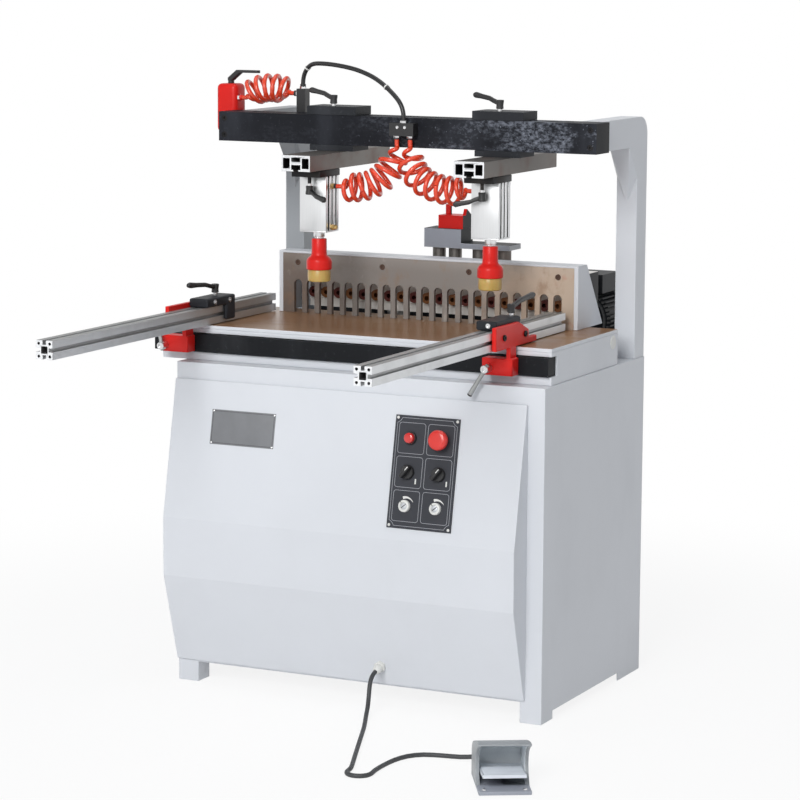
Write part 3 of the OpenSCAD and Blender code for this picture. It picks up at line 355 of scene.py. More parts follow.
def faced_board():
    finish = Finish("faced_board", coat_weight=0.12, coat_roughness=0.12, specular_ior_level=0.35)
    grain = finish.noise(60.0, 4.0, (0.08, 1, 1))
    cloud = finish.noise(5.0, 4.0)
    worn = finish.between(finish.noise(8.0, 6.0, (0.6, 1.4, 1), 0.7), 0.52, 0.78)
    shade = finish.mix(grain, (0.235, 0.113, 0.050), (0.305, 0.160, 0.076))
    shade = finish.mix(finish.between(cloud, 0.4, 0.7) * 0.35, shade, (0.36, 0.23, 0.13))
    finish.set("Base Color", finish.mix(worn * 0.22, shade, (0.50, 0.38, 0.25)))
    finish.set("Roughness", 0.26 + worn * 0.20 + grain * 0.08)
    finish.bump(grain, 0.05, 0.0002)
    return finish.material


def amber_pad():
    finish = Finish("amber_pad", roughness=0.32, subsurface_weight=0.25, subsurface_scale=0.01)
    cloud = finish.noise(40.0, 4.0)
    ring = finish.noise(350.0, 2.0, (0.05, 0.05, 1))
    finish.set("Base Color", finish.mix(cloud, (0.46, 0.29, 0.060), (0.62, 0.43, 0.14)))
    finish.bump(ring, 0.10, 0.0003)
    return finish.material


# %% Bare and moulded finishes
fence_steel = oiled_fence()
table_film = faced_board()
pad_amber = amber_pad()
rail_metal = drawn_metal("rail_metal", (0.70, 0.715, 0.73), 0.42, (1, 0.02, 1), 0.12)
groove_metal = drawn_metal("groove_metal", (0.50, 0.51, 0.52), 0.45, (1, 0.02, 1), 0.2)
rail_top = drawn_metal("rail_top", (0.42, 0.43, 0.43), 0.42, (1, 0.02, 1), 0.3)
rust = moulded("rust", (0.085, 0.045, 0.030), 0.6)
arm_metal = drawn_metal("arm_metal", (0.20, 0.188, 0.176), 0.40, (1, 0.02, 1), 0.35, (0.20, 0.10, 0.08))
cut_metal = moulded("cut_metal", (0.80, 0.81, 0.82), 0.40, 600.0, 0.1, metallic=0.25)
cylinder_metal = drawn_metal("cylinder_metal", (0.82, 0.83, 0.84), 0.26, (1, 1, 0.02), 0.05)
plate_metal = drawn_metal("plate_metal", (0.55, 0.57, 0.60), 0.36, (0.03, 1, 1), 0.2)
bright_steel = drawn_metal("bright_steel", (0.75, 0.75, 0.76), 0.18, (1, 1, 1), 0.08)
black_steel = drawn_metal("black_steel", (0.030, 0.030, 0.032), 0.38, (1, 1, 1), 0.3, (0.09, 0.075, 0.06))
brass = drawn_metal("brass", (0.72, 0.50, 0.20), 0.28, (1, 1, 1), 0.15)
black_plastic = moulded("black_plastic", (0.016, 0.016, 0.017), 0.36)
red_plastic = moulded("red_plastic", (0.72, 0.030, 0.022), 0.25, 200.0, 0.04, coat_weight=0.3)
red_lens = moulded("red_lens", (0.62, 0.012, 0.010), 0.10, 200.0, 0.03, coat_weight=1.0, coat_roughness=0.03)
plate_grey = moulded("plate_grey", (0.205, 0.21, 0.22), 0.46, 200.0, 0.05, specular_ior_level=0.3)
line_print = moulded("line_print", (0.36, 0.37, 0.40), 0.45)
white_plastic = moulded("white_plastic", (0.74, 0.74, 0.71), 0.40)
hose_red = moulded("hose_red", (0.80, 0.060, 0.018), 0.22, 120.0, 0.05, coat_weight=0.4)
hose_black = moulded("hose_black", (0.014, 0.014, 0.015), 0.30, 150.0, 0.08)
cord_rubber = moulded("cord_rubber", (0.045, 0.047, 0.050), 0.48, 500.0, 0.25)
# A pale finish for the faces inside the foot switch's hood: painted light.
hood_inside = moulded("hood_inside", (0.86, 0.90, 0.95), 0.5)
pedal_plastic = moulded("pedal_plastic", (0.70, 0.74, 0.79), 0.42, 260.0, 0.2)
chuck_red = moulded("chuck_red", (0.13, 0.028, 0.022), 0.32, 200.0, 0.1, metallic=0.35)
chuck_yellow = moulded("chuck_yellow", (0.24, 0.095, 0.030), 0.32, 200.0, 0.1, metallic=0.35)
print(len(bpy.data.materials), "materials in all")

# %% [markdown]
# ## Hands
# These few helpers do what hands do in the window: pick one object, add a primitive, pull it out ring by
# ring, round its edges, and say which body it moves with. `soften` starts from a copy of a solid: its loose
# triangles are merged, its flat faces joined, and a bevel takes the razor edge off. Smooth shading would then
# bend the light on the broad faces too, so `flat_faces` weighs each normal by the area of its faces.

# %% Picking and editing
MERGE = 0.00001
FLAT_ANGLE, SHARP_ANGLE, LATHE_ANGLE = 0.3, 30.0, 35
FACING = 0.9


def pick(piece):
    bpy.ops.object.select_all(action="DESELECT")
    bpy.context.view_layer.objects.active = piece
    piece.select_set(True)


def edit(piece):
    pick(piece)
    bpy.ops.object.mode_set(mode="EDIT")
    bpy.ops.mesh.select_all(action="SELECT")


def done():
    bpy.ops.object.mode_set(mode="OBJECT")
    return bpy.context.object


def fix_place(piece):
    """Puts a piece's place, turn and scale into its mesh."""
    pick(piece)
    bpy.ops.object.transform_apply(location=True, rotation=True, scale=True)
    return piece


def dress(piece, finish):
    piece.data.materials.clear()
    piece.data.materials.append(finish)
    return piece


# %% Rounding and settling
def round_edges(piece, width, segments=2, angle=SHARP_ANGLE):
    """Bevels the sharp edges by a modifier that is then applied."""
    bevel = piece.modifiers.new("edges", "BEVEL")
    bevel.width = width * MM
    bevel.segments = segments
    bevel.limit_method = "ANGLE"
    bevel.angle_limit = math.radians(angle)
    pick(piece)
    bpy.ops.object.modifier_apply(modifier=bevel.name)
    bpy.ops.object.shade_smooth_by_angle(angle=math.radians(angle))
    return piece


def flat_faces(piece):
    """Weighs the normals by area, so that broad faces stay flat beside their rounded edges."""
    weigh = piece.modifiers.new("flat", "WEIGHTED_NORMAL")
    weigh.keep_sharp = True
    pick(piece)
    bpy.ops.object.modifier_apply(modifier=weigh.name)
    return piece


def settle(piece, name, finish, body, slot, *replaced):
    """Fixes a finished piece's place, names it, gives it its finish and lets it ride on a body."""
    fix_place(piece)
    piece.name = name
    piece.data.name = name
    if finish is not None:
        dress(piece, finish)
    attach(piece, body)
    if replaced:
        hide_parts(*replaced)
    return piece


def soften(node, finish, width, crease=SHARP_ANGLE):
    """A copy of a solid with merged faces and rounded edges, which takes the solid's place."""
    piece = bpy.data.objects.new(node + "_skin", nodes[node].data.copy())
    bpy.context.scene.collection.objects.link(piece)
    edit(piece)
    bpy.ops.mesh.remove_doubles(threshold=MERGE)
    bpy.ops.mesh.dissolve_limited(angle_limit=math.radians(FLAT_ANGLE))
    done()
    flat_faces(round_edges(piece, width, angle=crease))
    return settle(piece, node + "_skin", finish, body_of[node], slot_of[node], node)


# %% Turning and pulling
def stand(piece, place, way, spin=0.0):
    """Stands a piece that was made on the origin at a place in mm, with its Z along a way."""
    turn = Vector(way).to_track_quat("Z", "Y").to_matrix().to_4x4()
    piece.matrix_world = Matrix.Translation(spot(*place)) @ turn @ Matrix.Rotation(math.radians(spin), 4, "Z")
    return fix_place(piece)


def turned(profile, sides):
    """A lathe piece on Z: a filled circle pulled out ring by ring. profile holds (radius, height) in mm."""
    bpy.ops.object.select_all(action="DESELECT")
    radius, height = profile[0]
    bpy.ops.mesh.primitive_circle_add(vertices=sides, radius=radius * MM, fill_type="NGON",
                                      location=(0, 0, 0))
    piece = bpy.context.object
    edit(piece)
    bpy.ops.transform.translate(value=(0, 0, height * MM))
    for (last_r, last_z), (r, z) in zip(profile, profile[1:]):
        bpy.ops.mesh.extrude_region_move(TRANSFORM_OT_translate={"value": (0, 0, (z - last_z) * MM)})
        bpy.ops.transform.resize(value=(r / last_r, r / last_r, 1), center_override=(0, 0, z * MM))
    bpy.ops.mesh.select_all(action="SELECT")
    bpy.ops.mesh.normals_make_consistent(inside=False)
    done()
    bpy.ops.object.shade_smooth_by_angle(angle=math.radians(LATHE_ANGLE))
    return piece


def pulled(outline, low, high):
    """An outline in mm, drawn on the floor and pulled up from low to high."""
    bpy.ops.object.select_all(action="DESELECT")
    bpy.ops.mesh.primitive_circle_add(vertices=len(outline), radius=MM, fill_type="NGON", location=(0, 0, 0))
    piece = bpy.context.object
    for vertex, (x, y) in zip(piece.data.vertices, outline):
        vertex.co = (x * MM, y * MM, low * MM)
    edit(piece)
    bpy.ops.mesh.extrude_region_move(TRANSFORM_OT_translate={"value": (0, 0, (high - low) * MM)})
    bpy.ops.mesh.select_all(action="SELECT")
    bpy.ops.mesh.normals_make_consistent(inside=False)
    return done()


def block(low, high, width, segments=2):
    """A cube between two corners in mm, with rounded edges."""
    bpy.ops.object.select_all(action="DESELECT")
    bpy.ops.mesh.primitive_cube_add(size=1, location=(0, 0, 0))
    piece = bpy.context.object
    piece.scale = [(b - a) * MM for a, b in zip(low, high)]
    piece.location = [(b + a) / 2 * MM for a, b in zip(low, high)]
    bpy.ops.object.transform_apply(location=True, rotation=True, scale=True)
    return round_edges(piece, width, segments)


# %% Copying, joining and painting
def copy_of(piece):
    twin = bpy.data.objects.new(piece.name, piece.data.copy())
    bpy.context.scene.collection.objects.link(twin)
    return twin


def copies(piece, count):
    """A piece and as many copies as make up the count, each with its own mesh."""
    return [piece] + [copy_of(piece) for _ in range(count - 1)]


def join(pieces):
    pick(pieces[0])
    for piece in pieces[1:]:
        piece.select_set(True)
    bpy.ops.object.join()
    return bpy.context.object


def paint_faces(piece, finish, choose):
    """Gives one more finish to the faces that choose(face) picks."""
    piece.data.materials.append(finish)
    last = len(piece.data.materials) - 1
    for face in piece.data.polygons:
        if choose(face):
            face.material_index = last


# %% Socket screws
RIM_HEIGHT, RIM, KEY_WALL, KEY_DEPTH = 0.85, 0.9, 0.4, 0.6


def socket_screw(radius, height):
    """A cap screw on Z: a turned head whose top is inset and pushed in for the key."""
    piece = turned([(radius, 0), (radius, height * RIM_HEIGHT), (radius * RIM, height)], 24)
    edit(piece)
    bpy.ops.mesh.select_all(action="DESELECT")
    done()
    for face in piece.data.polygons:
        face.select = face.normal.z > FACING
    bpy.ops.object.mode_set(mode="EDIT")
    bpy.ops.mesh.inset(thickness=radius * KEY_WALL * MM)
    bpy.ops.mesh.extrude_region_move(TRANSFORM_OT_translate={"value": (0, 0, -height * KEY_DEPTH * MM)})
    done()
    return piece


def screws(name, places, way, finish, body, slot, radius, height):
    """Copies of one cap screw at places in mm, joined into one piece."""
    heads = copies(socket_screw(radius, height), len(places))
    made = [stand(piece, place, way) for piece, place in zip(heads, places)]
    return settle(join(made), name, finish, body, slot)


print("helpers ready")

# %% [markdown]
# ## Air hoses and the foot switch cord
# Hoses come first, because a route that spreads too far has to change in the solids too. A coiled hose is a
# helix wound round a bent line from one fitting to the other, so it is made from that line, one point after
# another, and given its thickness as a curve's bevel. The hose of each clamp is made in two stretches, split
# at a share of its points. `CLAMPS` holds where each cylinder stands along X and Y, and 1 or -1 where its air
# ports look to the right or to the left.

# %% Hose and cord routes
TUBE = 10.0
COIL = 28.0
CURL_POINTS = 20
HOSE_ANGLE = 50


def bend_at(points, t):
    a, b, c, d = points
    return a * (1 - t) ** 3 + b * (3 * t * (1 - t) ** 2) + c * (3 * t * t * (1 - t)) + d * t**3


def coil_points(start, start_way, end, end_way, bends, curls):
    """A helix round a bent line between two fittings; bends holds the line's two inner handles."""
    start, start_way, end, end_way = Vector(start), Vector(start_way), Vector(end), Vector(end_way)
    lead = 1.5 * TUBE
    line = [start + start_way * lead, start + Vector(bends[0]), end + Vector(bends[1]), end + end_way * lead]
    count = curls * CURL_POINTS
    points = [start, start + start_way * TUBE]
    for i in range(1, count):
        t = i / count
        way = (bend_at(line, t + 0.5 / count) - bend_at(line, t - 0.5 / count)).normalized()
        side = way.cross(Vector((0, 1, 0))).normalized()
        angle = 2 * math.pi * curls * t
        reach = COIL * min(1.0, curls * min(t, 1 - t))
        points.append(bend_at(line, t) + (side * math.cos(angle) + way.cross(side) * math.sin(angle)) * reach)
    return points + [end + end_way * TUBE, end]


def smooth_points(route, steps):
    """A route in mm with smooth steps between its points, each of which it passes through."""
    points = [Vector(p) for p in route]
    last = len(points) - 1
    curve = []
    for i in range(last):
        a, b, c, d = points[max(i - 1, 0)], points[i], points[i + 1], points[min(i + 2, last)]
        for j in range(steps):
            u = j / steps
            square, cube = 2 * a - 5 * b + 4 * c - d, 3 * b - a - 3 * c + d
            curve.append(b + ((c - a) * u + square * u**2 + cube * u**3) / 2)
    return curve + [points[last]]


# %% Tubes and cords
def tube(name, points, diameter, finish, sides=5):
    """A round tube along points in mm, as a curve with a bevel that is then made a mesh."""
    places = [spot(*p) for p in points]
    curve = bpy.data.curves.new(name, "CURVE")
    curve.dimensions = "3D"
    curve.bevel_depth = diameter / 2 * MM
    curve.bevel_resolution = sides
    curve.use_fill_caps = True
    line = curve.splines.new("POLY")
    line.points.add(len(places) - 1)
    for point, place in zip(line.points, places):
        point.co = (*place, 1.0)
    piece = bpy.data.objects.new(name, curve)
    bpy.context.scene.collection.objects.link(piece)
    pick(piece)
    bpy.ops.object.convert(target="MESH")
    piece = bpy.context.object
    edit(piece)
    bpy.ops.mesh.remove_doubles(threshold=MERGE)
    bpy.ops.mesh.normals_make_consistent(inside=False)
    done()
    bpy.ops.object.shade_smooth_by_angle(angle=math.radians(HOSE_ANGLE))
    return dress(piece, finish), places


def as_cord(piece, places):
    length = sum((b - a).length for a, b in zip(places, places[1:]))
    print(piece.name, "is", round(length, 3), "m long")


def fixed_hose(name, node, points, diameter, finish):
    """A hose or cord with both its ends on the frame."""
    piece, places = tube(name, points, diameter, finish)
    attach(piece, "frame")
    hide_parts(node)
    as_cord(piece, places)


# %% Foot switch cord and supply hose
CORD = 9.5
cord_route = [
    (71, -380, 85), (71, -393, 80.6), (71, -404, 72), (71.2, -411, 59), (72, -415.5, 44), (74, -422.5, 30),
    (78, -434, 18), (84, -451, 10), (93, -473, 6), (106, -502, 5), (126, -548, 5), (155, -620, 5),
    (192, -712, 5), (218, -776, 5), (231, -808, 5), (238, -827, 5), (241, -840, 5), (243.5, -855.2, 5),
    (251.3, -868.6, 5), (265.4, -874.9, 5), (280.5, -871.7, 5), (290.8, -860.2, 5), (292.5, -844.8, 5),
    (290, -829, 5), (288, -810, 5), (287.5, -780, 5), (290, -738, 5), (301, -700, 5), (325, -674, 5),
    (362, -663, 5), (400, -659, 6), (431, -655.5, 10), (456, -658, 17.5), (476, -669, 25.5),
    (492, -689, 33), (504, -710, 36),
]
tee_port, inlet = Vector((-293, -27, 1314)), Vector((10, -134.5, 1250))
BEAM_TOP, RISE = 1253.0, 108.6
supply_shares = [
    (0.0019, 0.6446), (0.0093, 0.733), (0.023, 0.814), (0.0423, 0.884), (0.0666, 0.9392), (0.0952, 0.976),
    (0.129, 0.9945), (0.168, 1), (0.221, 1), (0.286, 0.993), (0.367, 0.975), (0.451, 0.948), (0.535, 0.91),
    (0.62, 0.852), (0.697, 0.783), (0.767, 0.696), (0.828, 0.597), (0.881, 0.496), (0.926, 0.398),
    (0.962, 0.298), (0.986, 0.19), (0.998, 0.07),
]
supply_route = [tee_port]
for along, up in supply_shares:
    x, y, _ = tee_port.lerp(inlet, along)
    supply_route.append(Vector((x, y, BEAM_TOP + up * RISE)))
supply_route.append(inlet)
fixed_hose("foot_switch_cord", "pedal_cord", smooth_points(cord_route, 2), CORD, cord_rubber)
fixed_hose("supply_hose_tube", "supply_hose", smooth_points(supply_route, 2), TUBE, hose_black)

# %% Coiled hoses
REAR_CURLS, CLAMP_CURLS = 6, 8
SPLIT_SHARE = 0.65
CLAMPS = {"left": (-172, -180, 1), "right": (228, -154, -1)}
MANIFOLD_PORTS = {"left": -6, "right": 26}
CYLINDER_FOOT = 990.4
PORT_REACH, PORT_UP = 43, 112
rear = coil_points((-448, -27, 1280), (1, 0, 0), (-314, -27, 1293), (-1, 0, 0),
                   [(40, 0, 30), (-40, 0, 16)], REAR_CURLS)
fixed_hose("rear_coil_tube", "rear_coil_hose", rear, TUBE, hose_red)
for side, (x, y, way) in CLAMPS.items():
    port = (x + PORT_REACH * way, y, CYLINDER_FOOT + PORT_UP)
    points = coil_points((MANIFOLD_PORTS[side], -134.5, 1206), (0, 0, -1), port, (way, 0, 0),
                         [(0, -20, -104), (56 * way, -6, -5)], CLAMP_CURLS)
    split = int(SPLIT_SHARE * len(points))
    upper, upper_places = tube(f"coil_{side}_upper", points[: split + 1], TUBE, hose_red)
    lower, lower_places = tube(f"coil_{side}_lower", points[split:], TUBE, hose_red)
    middle = spot(*((points[split - CURL_POINTS // 2] + points[split + CURL_POINTS // 2]) / 2))
    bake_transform(upper)
    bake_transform(lower)
    for piece, places in ((upper, upper_places), (lower, lower_places)):
        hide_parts(f"coil_hose_{side}")
        as_cord(piece, places)

# %% [markdown]
# ## Solids with softened edges
# Most of the machine keeps the form of its solids. Each one only loses its razor edges: thick castings by
# several millimetres, folded sheet by two, machined steel by less than one. The front cover's two creases are
# so shallow that its bevel looks for much smaller angles than the others.

# %% Softened solids
COVER_CREASE = 6.0
for node, finish, width in (
    ("cabinet", body_paint, 2.0), ("front_cover", body_paint, 2.0), ("table_box", body_paint, 1.5),
    ("guide_bar", bar_paint, 1.2), ("fence_plate", fence_steel, 0.6), ("fence_gussets", body_paint, 1.2),
    ("column_left", shaded_paint, 4.0), ("column_right", body_paint, 4.0), ("beam", beam_paint, 1.5),
    ("head_guides", bright_steel, 0.8), ("gearbox", gearbox_paint, 1.5),
    ("motor", motor_paint, 0.6), ("lift_plate", lift_paint, 2.0), ("lock_box", red_paint, 2.0),
    ("manifold", black_plastic, 1.0), ("hose_tee", black_plastic, 1.0), ("frame_bolts", black_steel, 0.5),
    ("valve_lever", black_plastic, 1.2), ("foot_pedal", pedal_plastic, 1.5),
    ("control_panel", panel_paint, 0.8),
):
    soften(node, finish, width, COVER_CREASE if node == "front_cover" else SHARP_ANGLE)
for side in ("left", "right"):
    for node, finish, width in (
        ("carriage", block_paint, 3.0), ("clamp_arm", arm_metal, 0.8), ("rail", rail_metal, 0.6),
        ("rail_bracket", red_paint, 2.5), ("stop_block", block_paint, 4.0),
    ):
        soften(f"{node}_{side}", finish, width)
top = soften("table_top", body_paint, 1.0)
chucks = soften("spindles", chuck_red, 0.8)

# %% [markdown]
# ## Two finishes on one piece
# Some pieces wear more than one finish. The board has its film only on top, the chucks change colour from one
# to the next, and the sawn ends of the profiles are brighter than their sides. Some sides are painted dark as
# painted shade: the beam's right end, the lock box's right side and the lift block's right side and top. The
# gearbox's black ends are end covers and painted shade at its right end. The faces are picked by their normal
# or their place, and get another material slot.


# %% Faces with another finish
def skin(node):
    """The softened copy that stands for a solid."""
    return bpy.data.objects[node + "_skin"]


SLOT_PITCH, FIRST_SLOT = 32, -320
BLOCK_HEIGHT, POST_HEIGHT = 31, 42
FENCE_BOLTS_BELOW = 1000
first_x = spot(FIRST_SLOT, 0, 0).x
paint_faces(top, table_film, lambda face: face.normal.z > FACING)
paint_faces(chucks, chuck_yellow, lambda face: round((face.center.x - first_x) / (SLOT_PITCH * MM)) % 2 == 1)
for node in ("rail_left", "rail_right", "clamp_arm_left", "clamp_arm_right"):
    paint_faces(skin(node), cut_metal, lambda face: abs(face.normal.y) > FACING)
# Both ends of the gearbox are painted black: black end covers, and painted shade at the right end.
paint_faces(skin("gearbox"), motor_paint, lambda face: abs(face.normal.x) > FACING)
# The lock box's right side is painted black: painted shade.
paint_faces(skin("lock_box"), motor_paint, lambda face: face.normal.x > FACING)
# The beam's right end gets the plain dark bar paint without scuffs: painted shade.
paint_faces(skin("beam"), bar_paint, lambda face: face.normal.x > FACING)
lift = skin("lift_plate")
lift_low, lift_high = (corner[2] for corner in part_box("lift_plate"))
block_low = lift_high - BLOCK_HEIGHT * MM
paint_faces(lift, block_grey, lambda face: face.center.z > block_low)
# The block's right side and top are painted black: painted shade on the side, and a dark top.
paint_faces(lift, motor_paint, lambda face: face.center.z > block_low - 2 * MM
            and max(face.normal.x, face.normal.z) > FACING)
paint_faces(lift, arm_metal, lambda face: face.center.z < lift_low + POST_HEIGHT * MM)
paint_faces(skin("frame_bolts"), rust, lambda face: face.center.z < FENCE_BOLTS_BELOW * MM)

# %% [markdown]
# ## Clamping levers
# A clamping lever has a plated stud, a moulded hub and a cranked arm that thickens to its tip. The hub is
# turned and the arm is drawn from the side and pulled to its width. One lever is modelled, and six copies are
# stretched to their lengths, turned and put in place. The two under the arms hang upside down from a thin
# stem.

# %% One lever
LEVER = 78.0
HUB = 12.0


def lever():
    """A lever on Z whose arm points along X."""
    stud = dress(turned([(5.2, 0), (5.2, 7)], 20), bright_steel)
    hub = turned([(6.6, 5), (8.2, 6), (7.6, 13), (8.6, 20), (8.8, 23), (7.8, 24.2), (5.0, 24.2),
                  (4.8, 22.8)], 24)
    screw = dress(turned([(4.4, 21), (4.4, 23), (3.6, 23.6), (2.0, 23.6), (1.9, 22.4)], 20), bright_steel)
    side = [(0, 13.5), (8, 13.6), (20, 17.0), (32, 21.4), (58, 24.4), (76, 25.2), (82, 27.6), (84.3, 31.5),
            (82.4, 36), (76, 38), (58, 34.6), (34, 31.4), (20, 26.4), (8, 23.4), (0, 23.4)]
    arm = pulled(side, -4.4, 4.4)
    arm.matrix_world = Matrix.Rotation(math.radians(90), 4, "X")
    arm = dress(round_edges(fix_place(arm), 3.2, 3), black_plastic)
    return join([arm, dress(hub, black_plastic), screw, stud])


def place_lever(master, node, place, turn, length, hang=False):
    """A copy of the lever with its arm drawn out to a length, on its stud at a place in mm."""
    piece = copy_of(master)
    for vertex in piece.data.vertices:
        if vertex.co.x > HUB * MM:
            vertex.co.x = HUB * MM + (vertex.co.x - HUB * MM) * (length - HUB) / (LEVER - HUB)
    flip = Matrix.Rotation(math.pi if hang else 0, 4, "X")
    piece.matrix_world = Matrix.Translation(spot(*place)) @ Matrix.Rotation(math.radians(turn), 4, "Z") @ flip
    if hang:
        stem = dress(turned([(4, -14), (4, 6)], 16), black_steel)
        stem.matrix_world = piece.matrix_world
        piece = join([piece, stem])
    return settle(piece, node + "_form", None, body_of[node], slot_of[node], node)


# %% Six levers
SHORT_LEVER, LONG_LEVER = 58, 112
BEAM_LEVER_Y, BEAM_LEVER_TURN = -112, 156
ARM_LEVER_AHEAD = 46
CARRIAGE_TOP, HANG_Z, STOP_TOP = 1272.6, 1110.1, 856.6
master = lever()
for side, (x, _, _) in CLAMPS.items():
    place_lever(master, f"beam_lever_{side}", (x, BEAM_LEVER_Y, CARRIAGE_TOP), BEAM_LEVER_TURN, LEVER)
for side, turn in (("left", -30), ("right", 195)):
    x, y, _ = CLAMPS[side]
    place_lever(master, f"arm_lever_{side}", (x, y - ARM_LEVER_AHEAD, HANG_Z), turn, SHORT_LEVER, True)
for side, x, y, turn in (("left", -395.5, -249, -90), ("right", 331.5, -275, 90)):
    place_lever(master, f"stop_lever_{side}", (x, y, STOP_TOP), turn, LONG_LEVER)
bpy.data.objects.remove(master)

# %% [markdown]
# ## Air cylinders and pressing feet
# A cylinder of this kind is cut from a drawn profile with grooves down its sides, under a black clamping
# plate. Its profile is drawn with the grooves and pulled to its height, then bored for the rod; the faces in
# its grooves are painted black as painted shade. The foot is a red bell on a plated rod with a lock nut, and
# the pad below it is amber polyurethane. Foot and pad are lathe work.


# %% Profiles and cuts
def grooved(half_x, half_y, grooves=()):
    """A rectangle's outline with grooves in its two ends; each groove is a (place, width, depth)."""
    corners = [Vector((x * half_x, y * half_y)) for x, y in ((-1, -1), (1, -1), (1, 1), (-1, 1))]
    ways = [Vector((1, 0)), Vector((0, 1)), Vector((-1, 0)), Vector((0, -1))]
    points = []
    for i, start in enumerate(corners):
        points.append(start)
        along, inward = ways[i], ways[(i + 1) % 4]
        for place, width, depth in grooves if i % 2 else ():
            for step, deep in ((-width / 2, 0), (-width / 2, depth), (width / 2, depth), (width / 2, 0)):
                points.append(start + along * (half_y + place + step) + inward * deep)
    return [(p.x, p.y) for p in points]


def cut_away(piece, tool):
    """Takes a tool's form out of a piece by a Boolean that is then applied."""
    cut = piece.modifiers.new("cut", "BOOLEAN")
    cut.operation = "DIFFERENCE"
    cut.object = tool
    pick(piece)
    bpy.ops.object.modifier_apply(modifier=cut.name)
    bpy.data.objects.remove(tool)
    return piece


def bore(piece, radius, low, high):
    """Drills a hole on Z."""
    return cut_away(piece, turned([(radius, low), (radius, high)], 32))


# %% Cylinders and feet
HALF_X, HALF_Y = 32, 31
GROOVES = ((-17, 7, 5), (0, 6, 5), (18, 6, 5))
GROOVE_REACH = 24
ROD_HOLE = 8.4
ROD_FOOT, PAD_FOOT = 918.4, 892.4
LOWER_PORT_UP = 22


def cylinder(side, x, y, way):
    """A cylinder whose two air ports look to the right if way is 1, and to the left if it is -1."""
    body = pulled(grooved(HALF_X, HALF_Y, GROOVES), 15, 134)
    cap = pulled(grooved(HALF_X, HALF_Y), 12, 15)
    nose = turned([(12.5, 12.5), (12.5, 1), (11.8, 0), (10, 0)], 32)
    parts = [round_edges(bore(body, ROD_HOLE, 0, 100), 0.7), round_edges(bore(cap, ROD_HOLE, 0, 20), 0.8),
             bore(nose, ROD_HOLE, -5, 20)]
    parts = [dress(part, cylinder_metal) for part in parts]
    # The faces in the grooves, with the body's hidden ends and bore, are painted black: painted shade in the
    # grooves.
    paint_faces(parts[0], black_steel, lambda face: abs(face.center.x) < (HALF_X - 0.5) * MM
                and abs(face.center.y) < GROOVE_REACH * MM)
    plate = dress(block((-35, -64, 134.2), (35, 31, 149), 1.5), black_steel)
    turn = Matrix.Rotation(math.radians(90 * way), 4, "Y")
    for height, ring_finish in ((PORT_UP, black_plastic), (LOWER_PORT_UP, brass)):
        nut = dress(turned([(6.6, 0), (6.6, 5), (5.6, 6)], 6), brass)
        ring = dress(turned([(5.4, 5), (5.4, 10), (4.6, 11)], 20), ring_finish)
        for part in (nut, ring):
            part.matrix_world = Matrix.Translation((way * HALF_X * MM, 0, height * MM)) @ turn
            parts.append(part)
    piece = join(parts + [plate])
    piece.matrix_world = Matrix.Translation(spot(x, y, CYLINDER_FOOT))
    settle(piece, f"cylinder_{side}_form", None, f"cylinder_{side}_body", "cylinder_finish",
           f"cylinder_{side}")


def pressing_foot(side, x, y):
    bell = turned([(26.6, 0), (28, 1.4), (28, 17), (27.6, 20), (26, 23.4), (23.4, 26.4), (20.4, 28.8),
                   (18.2, 31), (17.1, 34), (16.8, 40), (16.5, 66.6), (15.6, 68), (9, 68)], 48)
    nut = dress(round_edges(turned([(10.5, 68), (10.5, 71)], 6), 0.6), bright_steel)
    rod = dress(turned([(8, 70), (8, 169), (7, 170)], 32), bright_steel)
    foot = join([dress(bell, red_paint), nut, rod])
    pad = turned([(23.4, 0), (25, 1.6), (25.3, 12), (25, 24), (24, 25.9)], 48)
    for piece, kind, finish, height in (
        (foot, "press_rod", None, ROD_FOOT), (pad, "press_pad", pad_amber, PAD_FOOT),
    ):
        node = f"{kind}_{side}"
        piece.matrix_world = Matrix.Translation(spot(x, y, height))
        settle(piece, node + "_form", finish, f"press_{side}_body", slot_of[node], node)


# %% Both clamps
for side, (x, y, way) in CLAMPS.items():
    cylinder(side, x, y, way)
    pressing_foot(side, x, y)
print("clamps dressed")

# %% [markdown]
# ## Control panel
# The panel is a dark plate on the cover's slope, printed with fine light frames: one round the whole and one
# round each control. A lamp and a mushroom button are on top, two selectors in the middle and two small dials
# below. Each is made flat on the origin, facing up, and then stood on the slope. Only plain marks are
# printed.

# %% Standing things on the panel
SLOPE_OUT, SLOPE_DOWN = 59, 299.88
SLOPE = math.atan2(SLOPE_OUT, SLOPE_DOWN)
SLOPE_Y, SLOPE_Z = -347, 680
PANEL_X, PANEL_DROP = 180, 40
PANEL_W, PANEL_H = 150.0, 239.65
COLUMN = 36.0
ROWS = (0.2, 0.5, 0.8)
OUTWARD = (0, -math.cos(SLOPE), math.sin(SLOPE))


def on_slope(x, down, lift=0.0):
    """A point of the cover's upper slope, down mm below its top edge and lift mm out of it."""
    return (x, SLOPE_Y - math.sin(SLOPE) * down - math.cos(SLOPE) * lift,
            SLOPE_Z - math.cos(SLOPE) * down + math.sin(SLOPE) * lift)


def on_panel(piece, u, share, lift=3.0, spin=0.0):
    """Stands a piece on the panel, u mm from its middle and a share of its height below its top."""
    return stand(piece, on_slope(PANEL_X + u, PANEL_DROP + share * PANEL_H, lift), OUTWARD, spin)


